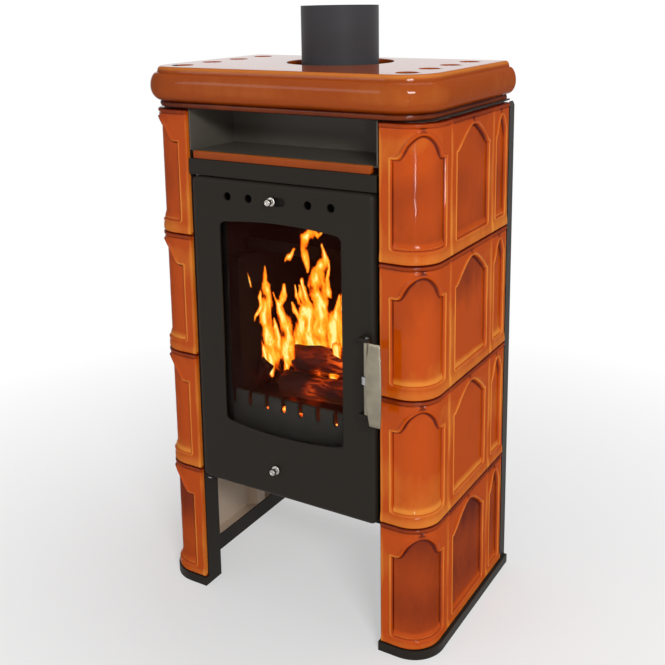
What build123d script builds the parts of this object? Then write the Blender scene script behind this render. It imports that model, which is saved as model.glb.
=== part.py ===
from build123d import *
import math
import os

# Tiled wood stove, in millimetres, +Z up.
# While it is being modelled, Y is measured from the door's front face towards the rear and X from
# the middle plane, right positive. The last step moves everything along Y, so that the origin is
# on the floor under the middle of the stove's bounding box.

# ---- driving dimensions -------------------------------------------------------------------------

# clearances
SEAT_GAP = 0.3            # between a loose piece and what carries it
RUN_GAP = 0.05            # radial play of a pin in its hole
TILE_JOINT = 0.4          # between neighbouring tiles

# sheet
SHEET = 3.0
THIN_SHEET = 2.0

# window
WINDOW_HALF_W = 131.5
WINDOW_H = 394.0          # at its sides
WINDOW_TOP_RISE = 9.0
WINDOW_LOW_SAG = 11.0
WINDOW_CORNER_R = 12.0
GLASS_LAP = 14.0
GLASS_T = 4.0
GLASS_GASKET_T = 1.5
GLASS_GASKET_W = 9.0
CLIP_W = 20.0
CLIP_T = 2.0
CLIP_LAP = 8.0
CLIP_X = 40.0

# rope gasket and its channel
GLASS_CHANNEL_GAP = 3.5
CHANNEL_W = 8.0
CHANNEL_T = 2.0
CHANNEL_FRAME_GAP = 3.0
ROPE_D = 8.0
ROPE_ROUND = 2.4

# door
DOOR_LOW_Z = 249.0
DOOR_FOOT_H = 137.0       # below the window's sides
DOOR_HEAD_H = 33.0        # above the air holes' middle
DOOR_RIM_W = 39.0         # from the gasket channel to the door's side
DOOR_DEPTH = 22.0
DOOR_SHEET = 3.0
DOOR_BEND_R = 10.0
DOOR_CORNER_R = 12.0
DOOR_SIDE_GAP = 4.5       # to the front cheeks
DOOR_TOP_GAP = 2.0        # to the fascia
DOOR_BACK_GAP = 5.0       # to the front frame

# air controls
HOLE_R = 8.0
HOLE_PITCH = 47.3         # between the two holes of a side
CLIP_SLIDER_GAP = 7.0
SLIDER_KNOB_X = -11.6
SLIDER_TRAVEL = 22.0
SLIDER_SLOT_PLAY = 3.0
SLIDER_STEM_R = 3.0
SLIDER_END_GAP = 5.0      # slid open, to the channel
SLIDER_END_RIM = 2.7      # from the outer hole to the slider's end
SLIDER_H = 24.0
SLIDER_T = 2.0
GUIDE_STEP = 23.5         # from the inner hole to the guide
GUIDE_W = 9.0
GUIDE_LAP = 5.0
GUIDE_T = 1.6
GUIDE_PLAY = 0.4
VALVE_X = -17.0
VALVE_RISE = 58.0         # above the door's lower edge
VALVE_ROD_R = 4.0
VALVE_TRAVEL = 12.0
VALVE_DISC_R = 15.0
VALVE_DISC_T = 2.0
KNOB_FLANGE_R = 8.5
KNOB_FLANGE_T = 3.5
KNOB_NECK_R = 4.0
KNOB_NECK_L = 4.0
KNOB_CAP_R = 6.0
KNOB_CAP_L = 7.0
KNOB_STAND_OFF = 2.0

# door hinge
HINGE_INSET = 10.0        # from the door's side
HINGE_Y = 12.0
HINGE_PIN_R = 4.0
HINGE_PIN_LAP = 12.0      # pin inside the door
HINGE_HEAD_R = 6.0
HINGE_HEAD_H = 2.0
BRACKET_T = 3.0
BRACKET_HALF_W = 11.0
BRACKET_NOSE = 6.0        # in front of the hinge axis
DOOR_BRACKET_GAP = 0.8

# handle
PIN_INSET = 8.0           # from the door's side
PIN_Y = -12.0
PIN_R = 3.5
PIN_HEAD_L = 2.0
KNUCKLE_R = 6.0
KNUCKLE_LOW_INSET = 10.0  # inside the grip's lower end
KNUCKLE_TOP_INSET = 7.0
LUG_T = 6.0
LUG_REACH = 15.0          # from the pin's axis inwards
GRIP_REACH = 26.5         # from the pin's axis outwards
GRIP_STAND_OFF = 19.0     # from the pin's axis to the grip's back
GRIP_RISE = 211.0         # above the door's lower edge
GRIP_H = 151.0
GRIP_END_W = 21.5
GRIP_MID_W = 31.0
GRIP_T = 5.0
GRIP_BOW = 5.0
GRIP_CORNER_R = 3.0
ARM_H = 16.0
ARM_T = 6.0
ARM_END_INSET = 14.0

# latch
HOOK_DROP = 0.5           # below the grip's middle
HOOK_T = 14.0
HOOK_HUB_R = 10.0
HOOK_W = 7.0
HOOK_TIP_INSET = 5.0      # inside the frame's slot
HOOK_REACH = 10.0         # behind the frame's front face
HOOK_NOSE_L = 7.0
HOOK_NOSE_T = 5.0
HOOK_GAP_Z = 8.0          # above and below the hook in the door and the frame
SLOT_CHANNEL_GAP = 5.0
SLOT_PIN_GAP = 4.0
SLOT_CORNER_R = 3.0
NOTCH_REACH = 14.0        # from the pin's axis inwards
CATCH_W = 8.0

# front frame behind the door
FRAME_T = 3.0
FRAME_LOW_DROP = 9.0      # below the door
FRAME_TOP_DROP = 1.7      # below the fascia's top
FRAME_CORNER_R = 1.0
MOUTH_SIDE_GAP = 4.5      # beside the window
MOUTH_HEAD = 26.0         # above the window's sides
MOUTH_SILL = 3.0          # above the floor bricks
MOUTH_CORNER_R = 15.0
ASH_MOUTH_INSET = 24.0    # inside the fire mouth
ASH_MOUTH_RISE = 1.0      # above the ash space
ASH_MOUTH_CORNER_R = 4.0

# firebox
BOX_FLANGE_W = 16.0       # frame between mouth and firebox side
BOX_DOOR_RISE = 16.0      # above the door's lower edge
BOX_TOP_DROP = 32.0       # below the niche bar's top
BOX_WALL = 4.0
BOX_BACK_REACH = 115.0    # behind the flue's axis
ASH_SPACE_H = 49.0
SHELF_HOLE_INSET = 22.0   # inside the ash pan's sides
SHELF_HOLE_FRONT_GAP = 70.0
SHELF_HOLE_BACK_GAP = 75.0
GRATE_LAP = 10.0
GRATE_T = 16.0
GRATE_SLOTS = 8
GRATE_SLOT_W = 9.0
GRATE_RIM = 14.0
BRICK_T = 24.0
FLOOR_BRICK_T = 25.0
WALL_BRICK_RISE = 353.0   # above the floor bricks
SIDE_BRICK_SETBACK = 14.0
BAFFLE_T = 25.0
SMOKE_GAP = 75.0          # in front of the baffle
RETAINER_T = 6.0
RETAINER_GAP = 1.0        # behind the front frame
RETAINER_RISE = 89.0      # above the floor bricks
RETAINER_SLOTS = 8
RETAINER_SLOT_W = 10.0
RETAINER_SLOT_D = 28.0
RETAINER_END_W = 12.6     # from the plate's end to the first slot's middle
ASH_PAN_SIDE_GAP = 6.0
ASH_PAN_TOP_GAP = 5.0
ASH_PAN_SETBACK = 10.0
ASH_PAN_BACK_GAP = 50.0
ASH_PAN_WALL = 1.5
ASH_PAN_PULL_D = 6.0
ASH_PAN_PULL_HALF_W = 32.0

# flue
FLUE_R = 75.0             # a 150 mm pipe
FLUE_WALL = 2.0
FLUE_BACK_REACH = 132.3   # from the pipe's axis to the tiles' rear edge
FLUE_RISE = 107.1         # above the slab
COLLAR_WALL = 3.0
COLLAR_H = 55.0
COLLAR_FLANGE_W = 14.0
COLLAR_FLANGE_T = 3.0

# niche above the door
FASCIA_Y = 3.0
FASCIA_H = 29.7
BAR_H = 15.0
BAR_D = 12.0
BAR_FRONT_Y = 2.0
BAR_END_GAP = 10.5
BAR_ROUND = 5.0
NICHE_H = 76.9            # from the bar's top to the posts' top
NICHE_FRONT_Y = 8.0
NICHE_FLUE_GAP = 11.0

# tile columns
TILE_ROWS = 4
TILE_FRONT_Y = 3.0
TILE_DEPTH = 37.0         # face to the back of the rim
TILE_WALL = 14.0          # face and rim thickness
TILE_TOP_GAP = 1.0        # to the top plate
TILE_BACK_GAP = 8.0       # to the cheek's flange
CORNER_FRONT_RUN = 38.0   # flat part of a corner tile, front
CORNER_R = 55.0
CORNER_SIDE_RUN = 36.5    # flat part of a corner tile, side
SIDE_TILE_W = 189.0
REAR_TILE_W = 78.0
RECESS_DEPTH = 4.0
MOTIF_MARGIN = 22.0       # tile edge to the side of the recessed panel
REAR_MOTIF_MARGIN = 18.0
MOTIF_BOTTOM = 26.0
MOTIF_SHOULDER_DROP = 58.0
MOTIF_PEAK_DROP = 17.0
MOTIF_SHOULDER_RUN = 9.0
MOTIF_CORNER_R = 8.0

# base trays
TRAY_H = 18.0
TRAY_WALL = 3.0
TRAY_PROUD = 7.0          # beyond the tiles, outwards
TRAY_FRONT_PROUD = 3.0    # beyond the tiles, to the front
UPSTAND_H = 17.0          # above the tray
UPSTAND_T = 3.0

# carcass
CHEEK_TILE_GAP = 0.5
CHEEK_SETBACK = 8.0       # front edge behind the tiles' face
CHEEK_FLANGE_LAP = 4.0    # beyond the corner tile's flat front
REAR_POST_DEPTH = 25.0
REAR_POST_PROUD = 1.0     # beyond the tiles
REAR_POST_TOP_CUT = 12.0
RAIL_H = 30.0
RAIL_LOW_DROP = 21.0      # below the firebox
RAIL_TOP_DROP = 40.0      # below the firebox's top
CROSS_BAR_D = 30.0
CROSS_BAR_SETBACK = 45.0
REAR_PANEL_LAP = 44.0     # beyond the posts' inner edges
REAR_PANEL_LOW_Z = 150.0
REAR_PANEL_TOP_GAP = 27.0
LOUVRE_COUNT = 9
LOUVRE_W = 300.0
LOUVRE_H = 8.0
LOUVRE_PITCH = 32.0
LOUVRE_RISE = 410.0       # above the panel's lower edge
PANEL_SCREW_R = 5.0
PANEL_SCREW_H = 2.0

# top slab
SLAB_H = 75.0
SLAB_EDGE_INSET = 4.0     # from the tiles' face to the moulding's reference line
SLAB_FRONT_PROUD = 12.0   # the same at the front, outwards
SLAB_CORNER_R = 70.0
SLAB_BELLY = 16.0
SLAB_LIP_H = 11.0
SLAB_LIP_INSET = 2.0
SLAB_BEAD_H = 9.0
SLAB_BEAD_R = 4.6
SLAB_BEAD_INSET = 3.0
SLAB_RIM = 32.0
SLAB_PLATE_T = 37.0
SLAB_FLUE_GAP = 29.0
VENT_HOLE_R = 17.5
VENT_HOLE_INSET = 57.0    # from the moulding's reference line
VENT_HOLE_FIRST_Y = 44.0
VENT_HOLE_LAST_GAP = 54.3
VENT_HOLES_PER_SIDE = 4
TOP_PLATE_T = 3.0
TOP_PLATE_INSET = 9.0     # inside the tiles' outer faces
TOP_PLATE_CORNER_R = 48.0
TOP_PLATE_FLUE_GAP = 13.0

# ---- derived places -----------------------------------------------------------------------------

# across
channel_half_w = WINDOW_HALF_W + GLASS_LAP + GLASS_CHANNEL_GAP + CHANNEL_W
door_half_w = channel_half_w + DOOR_RIM_W
cheek_in_x = door_half_w + DOOR_SIDE_GAP
hinge_x = HINGE_INSET - door_half_w
pin_x = door_half_w - PIN_INSET
mouth_half_w = WINDOW_HALF_W + MOUTH_SIDE_GAP
box_half_w = mouth_half_w + BOX_FLANGE_W
box_in_x = box_half_w - BOX_WALL
ash_mouth_half_w = mouth_half_w - ASH_MOUTH_INSET
ash_pan_half_w = ash_mouth_half_w - ASH_PAN_SIDE_GAP
shelf_hole_half_w = ash_pan_half_w - SHELF_HOLE_INSET
slider_half_w = channel_half_w - CHANNEL_W - SLIDER_TRAVEL - SLIDER_END_GAP
hole_x_out = slider_half_w - SLIDER_END_RIM - HOLE_R
hole_x_in = hole_x_out - HOLE_PITCH
guide_x = hole_x_in + GUIDE_STEP
bar_half_w = cheek_in_x - BAR_END_GAP
rear_panel_half_w = cheek_in_x + REAR_PANEL_LAP
cheek_flange_w = SHEET + CHEEK_TILE_GAP + CORNER_FRONT_RUN + CHEEK_FLANGE_LAP
tile_in_x = cheek_in_x + SHEET + CHEEK_TILE_GAP
corner_cx = tile_in_x + CORNER_FRONT_RUN
tile_out_x = corner_cx + CORNER_R
tray_in_x = tile_out_x - TILE_DEPTH - UPSTAND_T
slab_edge_x = tile_out_x - SLAB_EDGE_INSET
vent_hole_x = slab_edge_x - VENT_HOLE_INSET

# latch and handle, across
slot_in_x = channel_half_w + SLOT_CHANNEL_GAP
slot_out_x = pin_x + SLOT_PIN_GAP
notch_in_x = pin_x - NOTCH_REACH
hook_tip_x = slot_in_x + HOOK_TIP_INSET
lug_in_x = pin_x - LUG_REACH
grip_x = pin_x + GRIP_REACH

# heights of the door and the niche
window_low_z = DOOR_LOW_Z + DOOR_FOOT_H
window_high_z = window_low_z + WINDOW_H
glass_low_z = window_low_z - WINDOW_LOW_SAG - GLASS_LAP
glass_high_z = window_high_z + WINDOW_TOP_RISE + GLASS_LAP
hole_z = glass_high_z + CLIP_LAP + CLIP_SLIDER_GAP + SLIDER_H / 2
door_top_z = hole_z + DOOR_HEAD_H
valve_z = DOOR_LOW_Z + VALVE_RISE
fascia_low_z = door_top_z + DOOR_TOP_GAP
fascia_top_z = fascia_low_z + FASCIA_H
bar_top_z = fascia_top_z + SEAT_GAP + BAR_H
frame_low_z = DOOR_LOW_Z - FRAME_LOW_DROP
frame_top_z = fascia_top_z - FRAME_TOP_DROP

# heights of the handle and the latch
grip_low_z = DOOR_LOW_Z + GRIP_RISE
grip_top_z = grip_low_z + GRIP_H
grip_mid_z = (grip_low_z + grip_top_z) / 2
knuckle_low_z = grip_low_z + KNUCKLE_LOW_INSET
knuckle_top_z = grip_top_z - KNUCKLE_TOP_INSET
lug_low_z = knuckle_low_z - SEAT_GAP - LUG_T
hook_low_z = grip_mid_z - HOOK_DROP - HOOK_T / 2
hook_high_z = hook_low_z + HOOK_T
latch_low_z = hook_low_z - HOOK_GAP_Z
latch_high_z = hook_high_z + HOOK_GAP_Z

# heights of the firebox
box_low_z = DOOR_LOW_Z + BOX_DOOR_RISE
box_top_z = bar_top_z - BOX_TOP_DROP
ash_floor_z = box_low_z + BOX_WALL
ash_pan_h = ASH_SPACE_H - ASH_PAN_TOP_GAP
shelf_low_z = ash_floor_z + ASH_SPACE_H
shelf_top_z = shelf_low_z + BOX_WALL
bed_z = shelf_top_z + FLOOR_BRICK_T
mouth_low_z = bed_z + MOUTH_SILL
mouth_top_z = window_high_z + MOUTH_HEAD
wall_brick_top_z = bed_z + WALL_BRICK_RISE
retainer_top_z = bed_z + RETAINER_RISE
rail_low_z = box_low_z - RAIL_LOW_DROP
rail_high_z = box_top_z - RAIL_TOP_DROP

# heights of the tiles, the slab and the flue
post_top_z = bar_top_z + NICHE_H
tile_low_z = TRAY_H + SEAT_GAP
tile_top_z = post_top_z - TILE_TOP_GAP
tile_pitch = (tile_top_z - tile_low_z + TILE_JOINT) / TILE_ROWS
tile_h = tile_pitch - TILE_JOINT
slab_low_z = post_top_z + TOP_PLATE_T
slab_top_z = slab_low_z + SLAB_H
flue_top_z = slab_top_z + FLUE_RISE
louvre_low_z = REAR_PANEL_LOW_Z + LOUVRE_RISE
rear_panel_top_z = post_top_z - REAR_PANEL_TOP_GAP

# depths of the tile columns and the carcass
corner_cy = TILE_FRONT_Y + CORNER_R
corner_end_y = corner_cy + CORNER_SIDE_RUN
side_tile_y0 = corner_end_y + TILE_JOINT
side_tile_y1 = side_tile_y0 + SIDE_TILE_W
rear_tile_y0 = side_tile_y1 + TILE_JOINT
rear_tile_y1 = rear_tile_y0 + REAR_TILE_W
tray_front_y = TILE_FRONT_Y - TRAY_FRONT_PROUD
cheek_front_y = TILE_FRONT_Y + CHEEK_SETBACK
leg_back_y = TILE_FRONT_Y + TILE_DEPTH + TILE_BACK_GAP + SHEET
post_y0 = rear_tile_y1 + SEAT_GAP
post_y1 = rear_tile_y1 + REAR_POST_DEPTH
panel_y1 = post_y1 + THIN_SHEET
screw_y1 = panel_y1 + PANEL_SCREW_H
slab_front_y = TILE_FRONT_Y - SLAB_FRONT_PROUD
slab_back_y = rear_tile_y1
vent_run = slab_back_y - VENT_HOLE_LAST_GAP - VENT_HOLE_FIRST_Y
vent_hole_pitch = vent_run / (VENT_HOLES_PER_SIDE - 1)
flue_y = rear_tile_y1 - FLUE_BACK_REACH
niche_back_y = flue_y - FLUE_R - NICHE_FLUE_GAP

# depths of the door, the frame and the firebox
frame_y = DOOR_DEPTH + DOOR_BACK_GAP
rope_seat_y = frame_y - ROPE_D
hook_tip_y = frame_y + HOOK_REACH
box_front_y = frame_y + FRAME_T
box_back_y = flue_y + BOX_BACK_REACH
box_in_back_y = box_back_y - BOX_WALL
shelf_hole_front_y = box_front_y + SHELF_HOLE_FRONT_GAP
shelf_hole_back_y = box_back_y - SHELF_HOLE_BACK_GAP
cross_bar_y = box_back_y - CROSS_BAR_SETBACK
grip_back_y = PIN_Y - GRIP_STAND_OFF
grip_front_y = grip_back_y - GRIP_BOW - GRIP_T
knob_back_y = -KNOB_STAND_OFF
centre_y = (grip_front_y + screw_y1) / 2


# ---- helpers ------------------------------------------------------------------------------------

def block(x0, x1, y0, y1, z0, z1):
    """A box between two corners."""
    middle = Pos((x0 + x1) / 2, (y0 + y1) / 2, (z0 + z1) / 2)
    return middle * Box(abs(x1 - x0), abs(y1 - y0), abs(z1 - z0))


def rod_z(x, y, radius, z0, z1):
    """A round bar along Z."""
    return Pos(x, y, (z0 + z1) / 2) * Cylinder(radius, z1 - z0)


def rod_y(x, z, radius, y0, y1):
    """A round bar along Y."""
    return Pos(x, (y0 + y1) / 2, z) * Rot(90, 0, 0) * Cylinder(radius, y1 - y0)


def front_plane(y):
    """A plane at y whose sketches read X and Z, with its normal towards the front."""
    return Plane(origin=(0, y, 0), x_dir=(1, 0, 0), z_dir=(0, -1, 0))


def upright_plate(sketch, y0, y1):
    """A sketch in X and Z made into a plate between y0 and y1."""
    return extrude(front_plane(y1) * sketch, y1 - y0)


def rounded_rect(x0, x1, z0, z1, radius):
    """A rounded rectangle between two corners."""
    return Pos((x0 + x1) / 2, (z0 + z1) / 2) * RectangleRounded(x1 - x0, z1 - z0, radius)


def mirrored(shape):
    """The left-hand copy of a right-hand piece."""
    return mirror(shape, Plane.YZ)


# ---- tiles --------------------------------------------------------------------------------------

def arch_height(place):
    """Height of the arch between shoulder and peak, for a place from 0 at a shoulder to 1."""
    return (1 - math.cos(2 * math.pi * place)) / 2


def motif_sketch(left, right, across):
    """The recessed panel: square sides, rounded foot, shoulders and a curved peak.

    left and right are distances along the tile's face, and across turns such a distance into the
    sketch's own horizontal place.
    """
    low = MOTIF_BOTTOM
    shoulder = tile_h - MOTIF_SHOULDER_DROP
    peak = tile_h - MOTIF_PEAK_DROP
    run = MOTIF_SHOULDER_RUN
    span = right - left - 2 * run

    def arch_point(place):
        height = shoulder + (peak - shoulder) * arch_height(place)
        return (across(right - run - span * place), height)

    sides = Polyline(
        arch_point(1),
        (across(left), shoulder),
        (across(left), low),
        (across(right), low),
        (across(right), shoulder),
        arch_point(0),
    )
    rise = ThreePointArc(arch_point(0), arch_point(0.15), arch_point(0.3))
    crown = ThreePointArc(arch_point(0.3), arch_point(0.5), arch_point(0.7))
    fall = ThreePointArc(arch_point(0.7), arch_point(0.85), arch_point(1))
    panel = make_face([*sides.edges(), rise, crown, fall])
    feet = panel.vertices().group_by(Axis.Y)[0]
    return fillet(feet, MOTIF_CORNER_R)


def flat_tile(y0, y1, margin):
    """A flat tile of the right-hand side, standing at height 0."""
    outer = tile_out_x
    tile = block(outer - TILE_DEPTH, outer, y0, y1, 0, tile_h)
    hollow = block(
        outer - TILE_DEPTH, outer - TILE_WALL,
        y0 + TILE_WALL, y1 - TILE_WALL,
        TILE_WALL, tile_h - TILE_WALL,
    )
    panel = motif_sketch(margin, y1 - y0 - margin, lambda along: along)
    face = Plane(origin=(outer, y0, 0), x_dir=(0, 1, 0), z_dir=(1, 0, 0))
    recess = extrude(face * panel, -RECESS_DEPTH)
    return tile - hollow - recess


def corner_band(inset_a, inset_b, trim):
    """Plan of a corner tile between two depths, shortened by trim at both ends."""
    x0 = tile_in_x + trim
    y1 = corner_end_y - trim
    half = math.sqrt(0.5)
    ra = CORNER_R - inset_a
    rb = CORNER_R - inset_b
    front_a = TILE_FRONT_Y + inset_a
    front_b = TILE_FRONT_Y + inset_b
    side_a = tile_out_x - inset_a
    side_b = tile_out_x - inset_b
    mid_a = (corner_cx + ra * half, corner_cy - ra * half)
    mid_b = (corner_cx + rb * half, corner_cy - rb * half)
    edges = [
        Line((x0, front_a), (corner_cx, front_a)),
        ThreePointArc((corner_cx, front_a), mid_a, (side_a, corner_cy)),
        Line((side_a, corner_cy), (side_a, y1)),
        Line((side_a, y1), (side_b, y1)),
        Line((side_b, y1), (side_b, corner_cy)),
        ThreePointArc((side_b, corner_cy), mid_b, (corner_cx, front_b)),
        Line((corner_cx, front_b), (x0, front_b)),
        Line((x0, front_b), (x0, front_a)),
    ]
    return make_face(edges)


def corner_across(along):
    """Sideways place of a point of the corner tile's face, seen along the diagonal."""
    bend = CORNER_R * math.pi / 2
    half = math.sqrt(0.5)
    if along < CORNER_FRONT_RUN:
        x = tile_in_x + along
        y = TILE_FRONT_Y
    elif along < CORNER_FRONT_RUN + bend:
        angle = (along - CORNER_FRONT_RUN) / CORNER_R
        x = corner_cx + CORNER_R * math.sin(angle)
        y = corner_cy - CORNER_R * math.cos(angle)
    else:
        x = tile_out_x
        y = corner_cy + along - CORNER_FRONT_RUN - bend
    return (x - corner_cx) * half + (y - corner_cy) * half


def corner_tile():
    """The right-hand corner tile, a quarter-round shell standing at height 0."""
    tile = extrude(corner_band(0, TILE_DEPTH, 0), tile_h)
    hollow = extrude(corner_band(TILE_WALL, TILE_DEPTH, TILE_WALL), tile_h - 2 * TILE_WALL)
    skin = extrude(corner_band(0, RECESS_DEPTH, 0), tile_h)
    face_length = CORNER_FRONT_RUN + CORNER_R * math.pi / 2 + CORNER_SIDE_RUN
    panel = motif_sketch(MOTIF_MARGIN, face_length - MOTIF_MARGIN, corner_across)
    diagonal = Plane(origin=(corner_cx, corner_cy, 0), x_dir=(1, 1, 0), z_dir=(1, -1, 0))
    prism = extrude(diagonal * panel, CORNER_R * 2)
    return tile - Pos(0, 0, TILE_WALL) * hollow - (skin & prism)


# ---- top slab -----------------------------------------------------------------------------------

def vent_hole_places():
    """Centres of the convection holes, both sides."""
    places = []
    for number in range(VENT_HOLES_PER_SIDE):
        y = VENT_HOLE_FIRST_Y + number * vent_hole_pitch
        places.append((-vent_hole_x, y))
        places.append((vent_hole_x, y))
    return places


def slab_moulding():
    """The slab's edge: lip, rounded belly, groove and top bead, swept round three sides."""
    half = math.sqrt(0.5)
    x = slab_edge_x
    r = SLAB_CORNER_R
    front = slab_front_y
    bend_y = front + r
    bend_mid = r * (1 - half)
    path = Wire([
        Edge.make_line((-x, slab_back_y, 0), (-x, bend_y, 0)),
        Edge.make_three_point_arc(
            (-x, bend_y, 0), (-x + bend_mid, front + bend_mid, 0), (-x + r, front, 0)),
        Edge.make_line((-x + r, front, 0), (x - r, front, 0)),
        Edge.make_three_point_arc(
            (x - r, front, 0), (x - bend_mid, front + bend_mid, 0), (x, bend_y, 0)),
        Edge.make_line((x, bend_y, 0), (x, slab_back_y, 0)),
    ])
    low = slab_low_z
    top = slab_top_z
    belly_low = low + SLAB_LIP_H
    belly_top = top - SLAB_BEAD_H
    depth = -r + 4
    lip_x = -SLAB_LIP_INSET
    bead_x = -SLAB_BEAD_INSET
    bead_low = (bead_x + SLAB_BEAD_R * half, top - SLAB_BEAD_R * (1 + half))
    section = make_face([
        Line((depth, low), (lip_x, low)),
        Line((lip_x, low), (lip_x, belly_low)),
        ThreePointArc((lip_x, belly_low), (SLAB_BELLY, (belly_low + belly_top) / 2), (1, belly_top)),
        Line((1, belly_top), bead_low),
        ThreePointArc(bead_low, (bead_x + SLAB_BEAD_R, top - SLAB_BEAD_R), (bead_x, top)),
        Line((bead_x, top), (depth, top)),
        Line((depth, top), (depth, low)),
    ])
    start = Plane(origin=(-x, slab_back_y, 0), x_dir=(-1, 0, 0), z_dir=(0, 1, 0))
    return sweep(start * section, path=path)


def top_slab():
    """The glazed slab with its flue hole, convection holes and hollow underside."""
    core_x = slab_edge_x - SLAB_CORNER_R + 6
    core_y = slab_front_y + SLAB_CORNER_R - 6
    slab = slab_moulding() + block(-core_x, core_x, core_y, slab_back_y, slab_low_z, slab_top_z)
    rim = SLAB_RIM
    slab -= block(
        -slab_edge_x + rim, slab_edge_x - rim,
        slab_front_y + rim, slab_back_y - rim / 2,
        slab_low_z, slab_top_z - SLAB_PLATE_T,
    )
    slab -= rod_z(0, flue_y, FLUE_R + SLAB_FLUE_GAP, slab_low_z, slab_top_z)
    for x, y in vent_hole_places():
        slab -= rod_z(x, y, VENT_HOLE_R, slab_low_z, slab_top_z)
    return slab


# ---- carcass ------------------------------------------------------------------------------------

def tray_plan(inset):
    """Plan of the right-hand base tray, drawn in by inset."""
    half = math.sqrt(0.5)
    outer = CORNER_R + TRAY_PROUD
    radius = outer - inset
    cx = corner_cx
    cy = tray_front_y + outer
    x_in = cheek_in_x + inset
    y_front = cy - radius
    x_out = cx + radius
    x_rail = tray_in_x + inset
    y_leg = leg_back_y - inset
    y_back = post_y1 - inset
    return make_face([
        Line((x_in, y_front), (cx, y_front)),
        ThreePointArc((cx, y_front), (cx + radius * half, cy - radius * half), (x_out, cy)),
        Line((x_out, cy), (x_out, y_back)),
        Line((x_out, y_back), (x_rail, y_back)),
        Line((x_rail, y_back), (x_rail, y_leg)),
        Line((x_rail, y_leg), (x_in, y_leg)),
        Line((x_in, y_leg), (x_in, y_front)),
    ])


def base_tray():
    """Right-hand tray that the tiles stand in, open below, with its inner upstand."""
    tray = extrude(tray_plan(0), TRAY_H) - extrude(tray_plan(TRAY_WALL), TRAY_H - TRAY_WALL)
    upstand_x1 = tray_in_x + UPSTAND_T - SEAT_GAP
    upstand = block(
        tray_in_x, upstand_x1, corner_cy, rear_tile_y1,
        TRAY_H, TRAY_H + UPSTAND_H,
    )
    return tray + upstand


def front_cheek():
    """Right-hand front leg: a folded sheet that runs up between door and tiles."""
    x0 = cheek_in_x
    web = block(x0, x0 + SHEET, cheek_front_y, leg_back_y, TRAY_H, post_top_z)
    flange = block(
        x0, x0 + cheek_flange_w, leg_back_y - SHEET, leg_back_y, TRAY_H, post_top_z)
    return web + flange


def rear_post():
    """Right-hand rear post: outer plate, back flange and inner return."""
    x1 = tile_out_x + REAR_POST_PROUD
    outer = block(x1 - THIN_SHEET, x1, post_y0, post_y1, TRAY_H, post_top_z)
    back = block(cheek_in_x, x1, post_y1 - THIN_SHEET, post_y1, TRAY_H, post_top_z)
    inner = block(
        cheek_in_x, cheek_in_x + THIN_SHEET, post_y0, post_y1, rail_low_z - RAIL_H, post_top_z)
    low_cut = block(
        cheek_in_x, tray_in_x, post_y0, post_y1, TRAY_H, rail_low_z - RAIL_H)
    cut = REAR_POST_TOP_CUT
    corner = Pos(x1, post_y1, post_top_z) * Rot(45, 0, 0) * Box(4 * cut, cut, cut)
    return outer + back + inner - low_cut - corner


def side_rails():
    """Two rails a side between cheek and rear post, and the cross bar under the firebox."""
    rails = []
    for side in (-1, 1):
        for low in (rail_low_z, rail_high_z):
            x_in = side * (cheek_in_x + THIN_SHEET)
            x_out = side * (cheek_in_x + THIN_SHEET + SHEET)
            rails.append(block(x_in, x_out, leg_back_y, post_y1 - THIN_SHEET, low, low + RAIL_H))
    reach = cheek_in_x + THIN_SHEET
    cross = block(
        -reach, reach, cross_bar_y, cross_bar_y + CROSS_BAR_D, box_low_z - SHEET, box_low_z)
    return Compound(children=[*rails, cross])


def top_plate():
    """Steel plate under the slab."""
    half_w = tile_out_x - TOP_PLATE_INSET
    y0 = TILE_FRONT_Y + TOP_PLATE_INSET
    plate = block(-half_w, half_w, y0, post_y1, post_top_z, slab_low_z)
    corners = plate.edges().filter_by(Axis.Z).group_by(Axis.Y)[0]
    plate = fillet(corners, TOP_PLATE_CORNER_R)
    plate -= rod_z(0, flue_y, FLUE_R + TOP_PLATE_FLUE_GAP, post_top_z, slab_low_z)
    for x, y in vent_hole_places():
        plate -= rod_z(x, y, VENT_HOLE_R, post_top_z, slab_low_z)
    return plate


def rear_panel():
    """Rear heat shield with its louvre slots."""
    half_w = rear_panel_half_w
    panel = block(-half_w, half_w, post_y1, panel_y1, REAR_PANEL_LOW_Z, rear_panel_top_z)
    for number in range(LOUVRE_COUNT):
        z = louvre_low_z + number * LOUVRE_PITCH
        slot = Pos(0, z) * SlotOverall(LOUVRE_W, LOUVRE_H)
        panel -= upright_plate(slot, post_y1, panel_y1)
    return panel


def panel_screw_places():
    """Where the rear panel is screwed to the posts."""
    x = (cheek_in_x + rear_panel_half_w) / 2
    middle = (REAR_PANEL_LOW_Z + rear_panel_top_z) / 2
    margin = 2 * PANEL_SCREW_R
    heights = (REAR_PANEL_LOW_Z + margin, middle, rear_panel_top_z - margin)
    return [(side * x, z) for side in (-1, 1) for z in heights]


def panel_screws():
    """Heads of the screws that hold the rear panel."""
    heads = []
    for x, z in panel_screw_places():
        heads.append(rod_y(x, z, PANEL_SCREW_R, panel_y1, screw_y1))
    return Compound(children=heads)


def niche_box():
    """The warming niche: floor, back and side walls of thin sheet."""
    x1 = cheek_in_x - SEAT_GAP
    floor_top = bar_top_z - THIN_SHEET
    floor_low = floor_top - THIN_SHEET
    top = post_top_z - SEAT_GAP
    y_bar = BAR_FRONT_Y + BAR_D + SEAT_GAP
    back_y1 = niche_back_y + THIN_SHEET
    floor = block(-x1, x1, y_bar, back_y1, floor_low, floor_top)
    back = block(-x1, x1, niche_back_y, back_y1, floor_low, top)
    left = block(-x1, -x1 + THIN_SHEET, y_bar, back_y1, floor_low, top)
    left_edge = block(-x1, -x1 + THIN_SHEET, NICHE_FRONT_Y, y_bar, bar_top_z + SEAT_GAP, top)
    return floor + back + left + left_edge + mirrored(left) + mirrored(left_edge)


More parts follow.
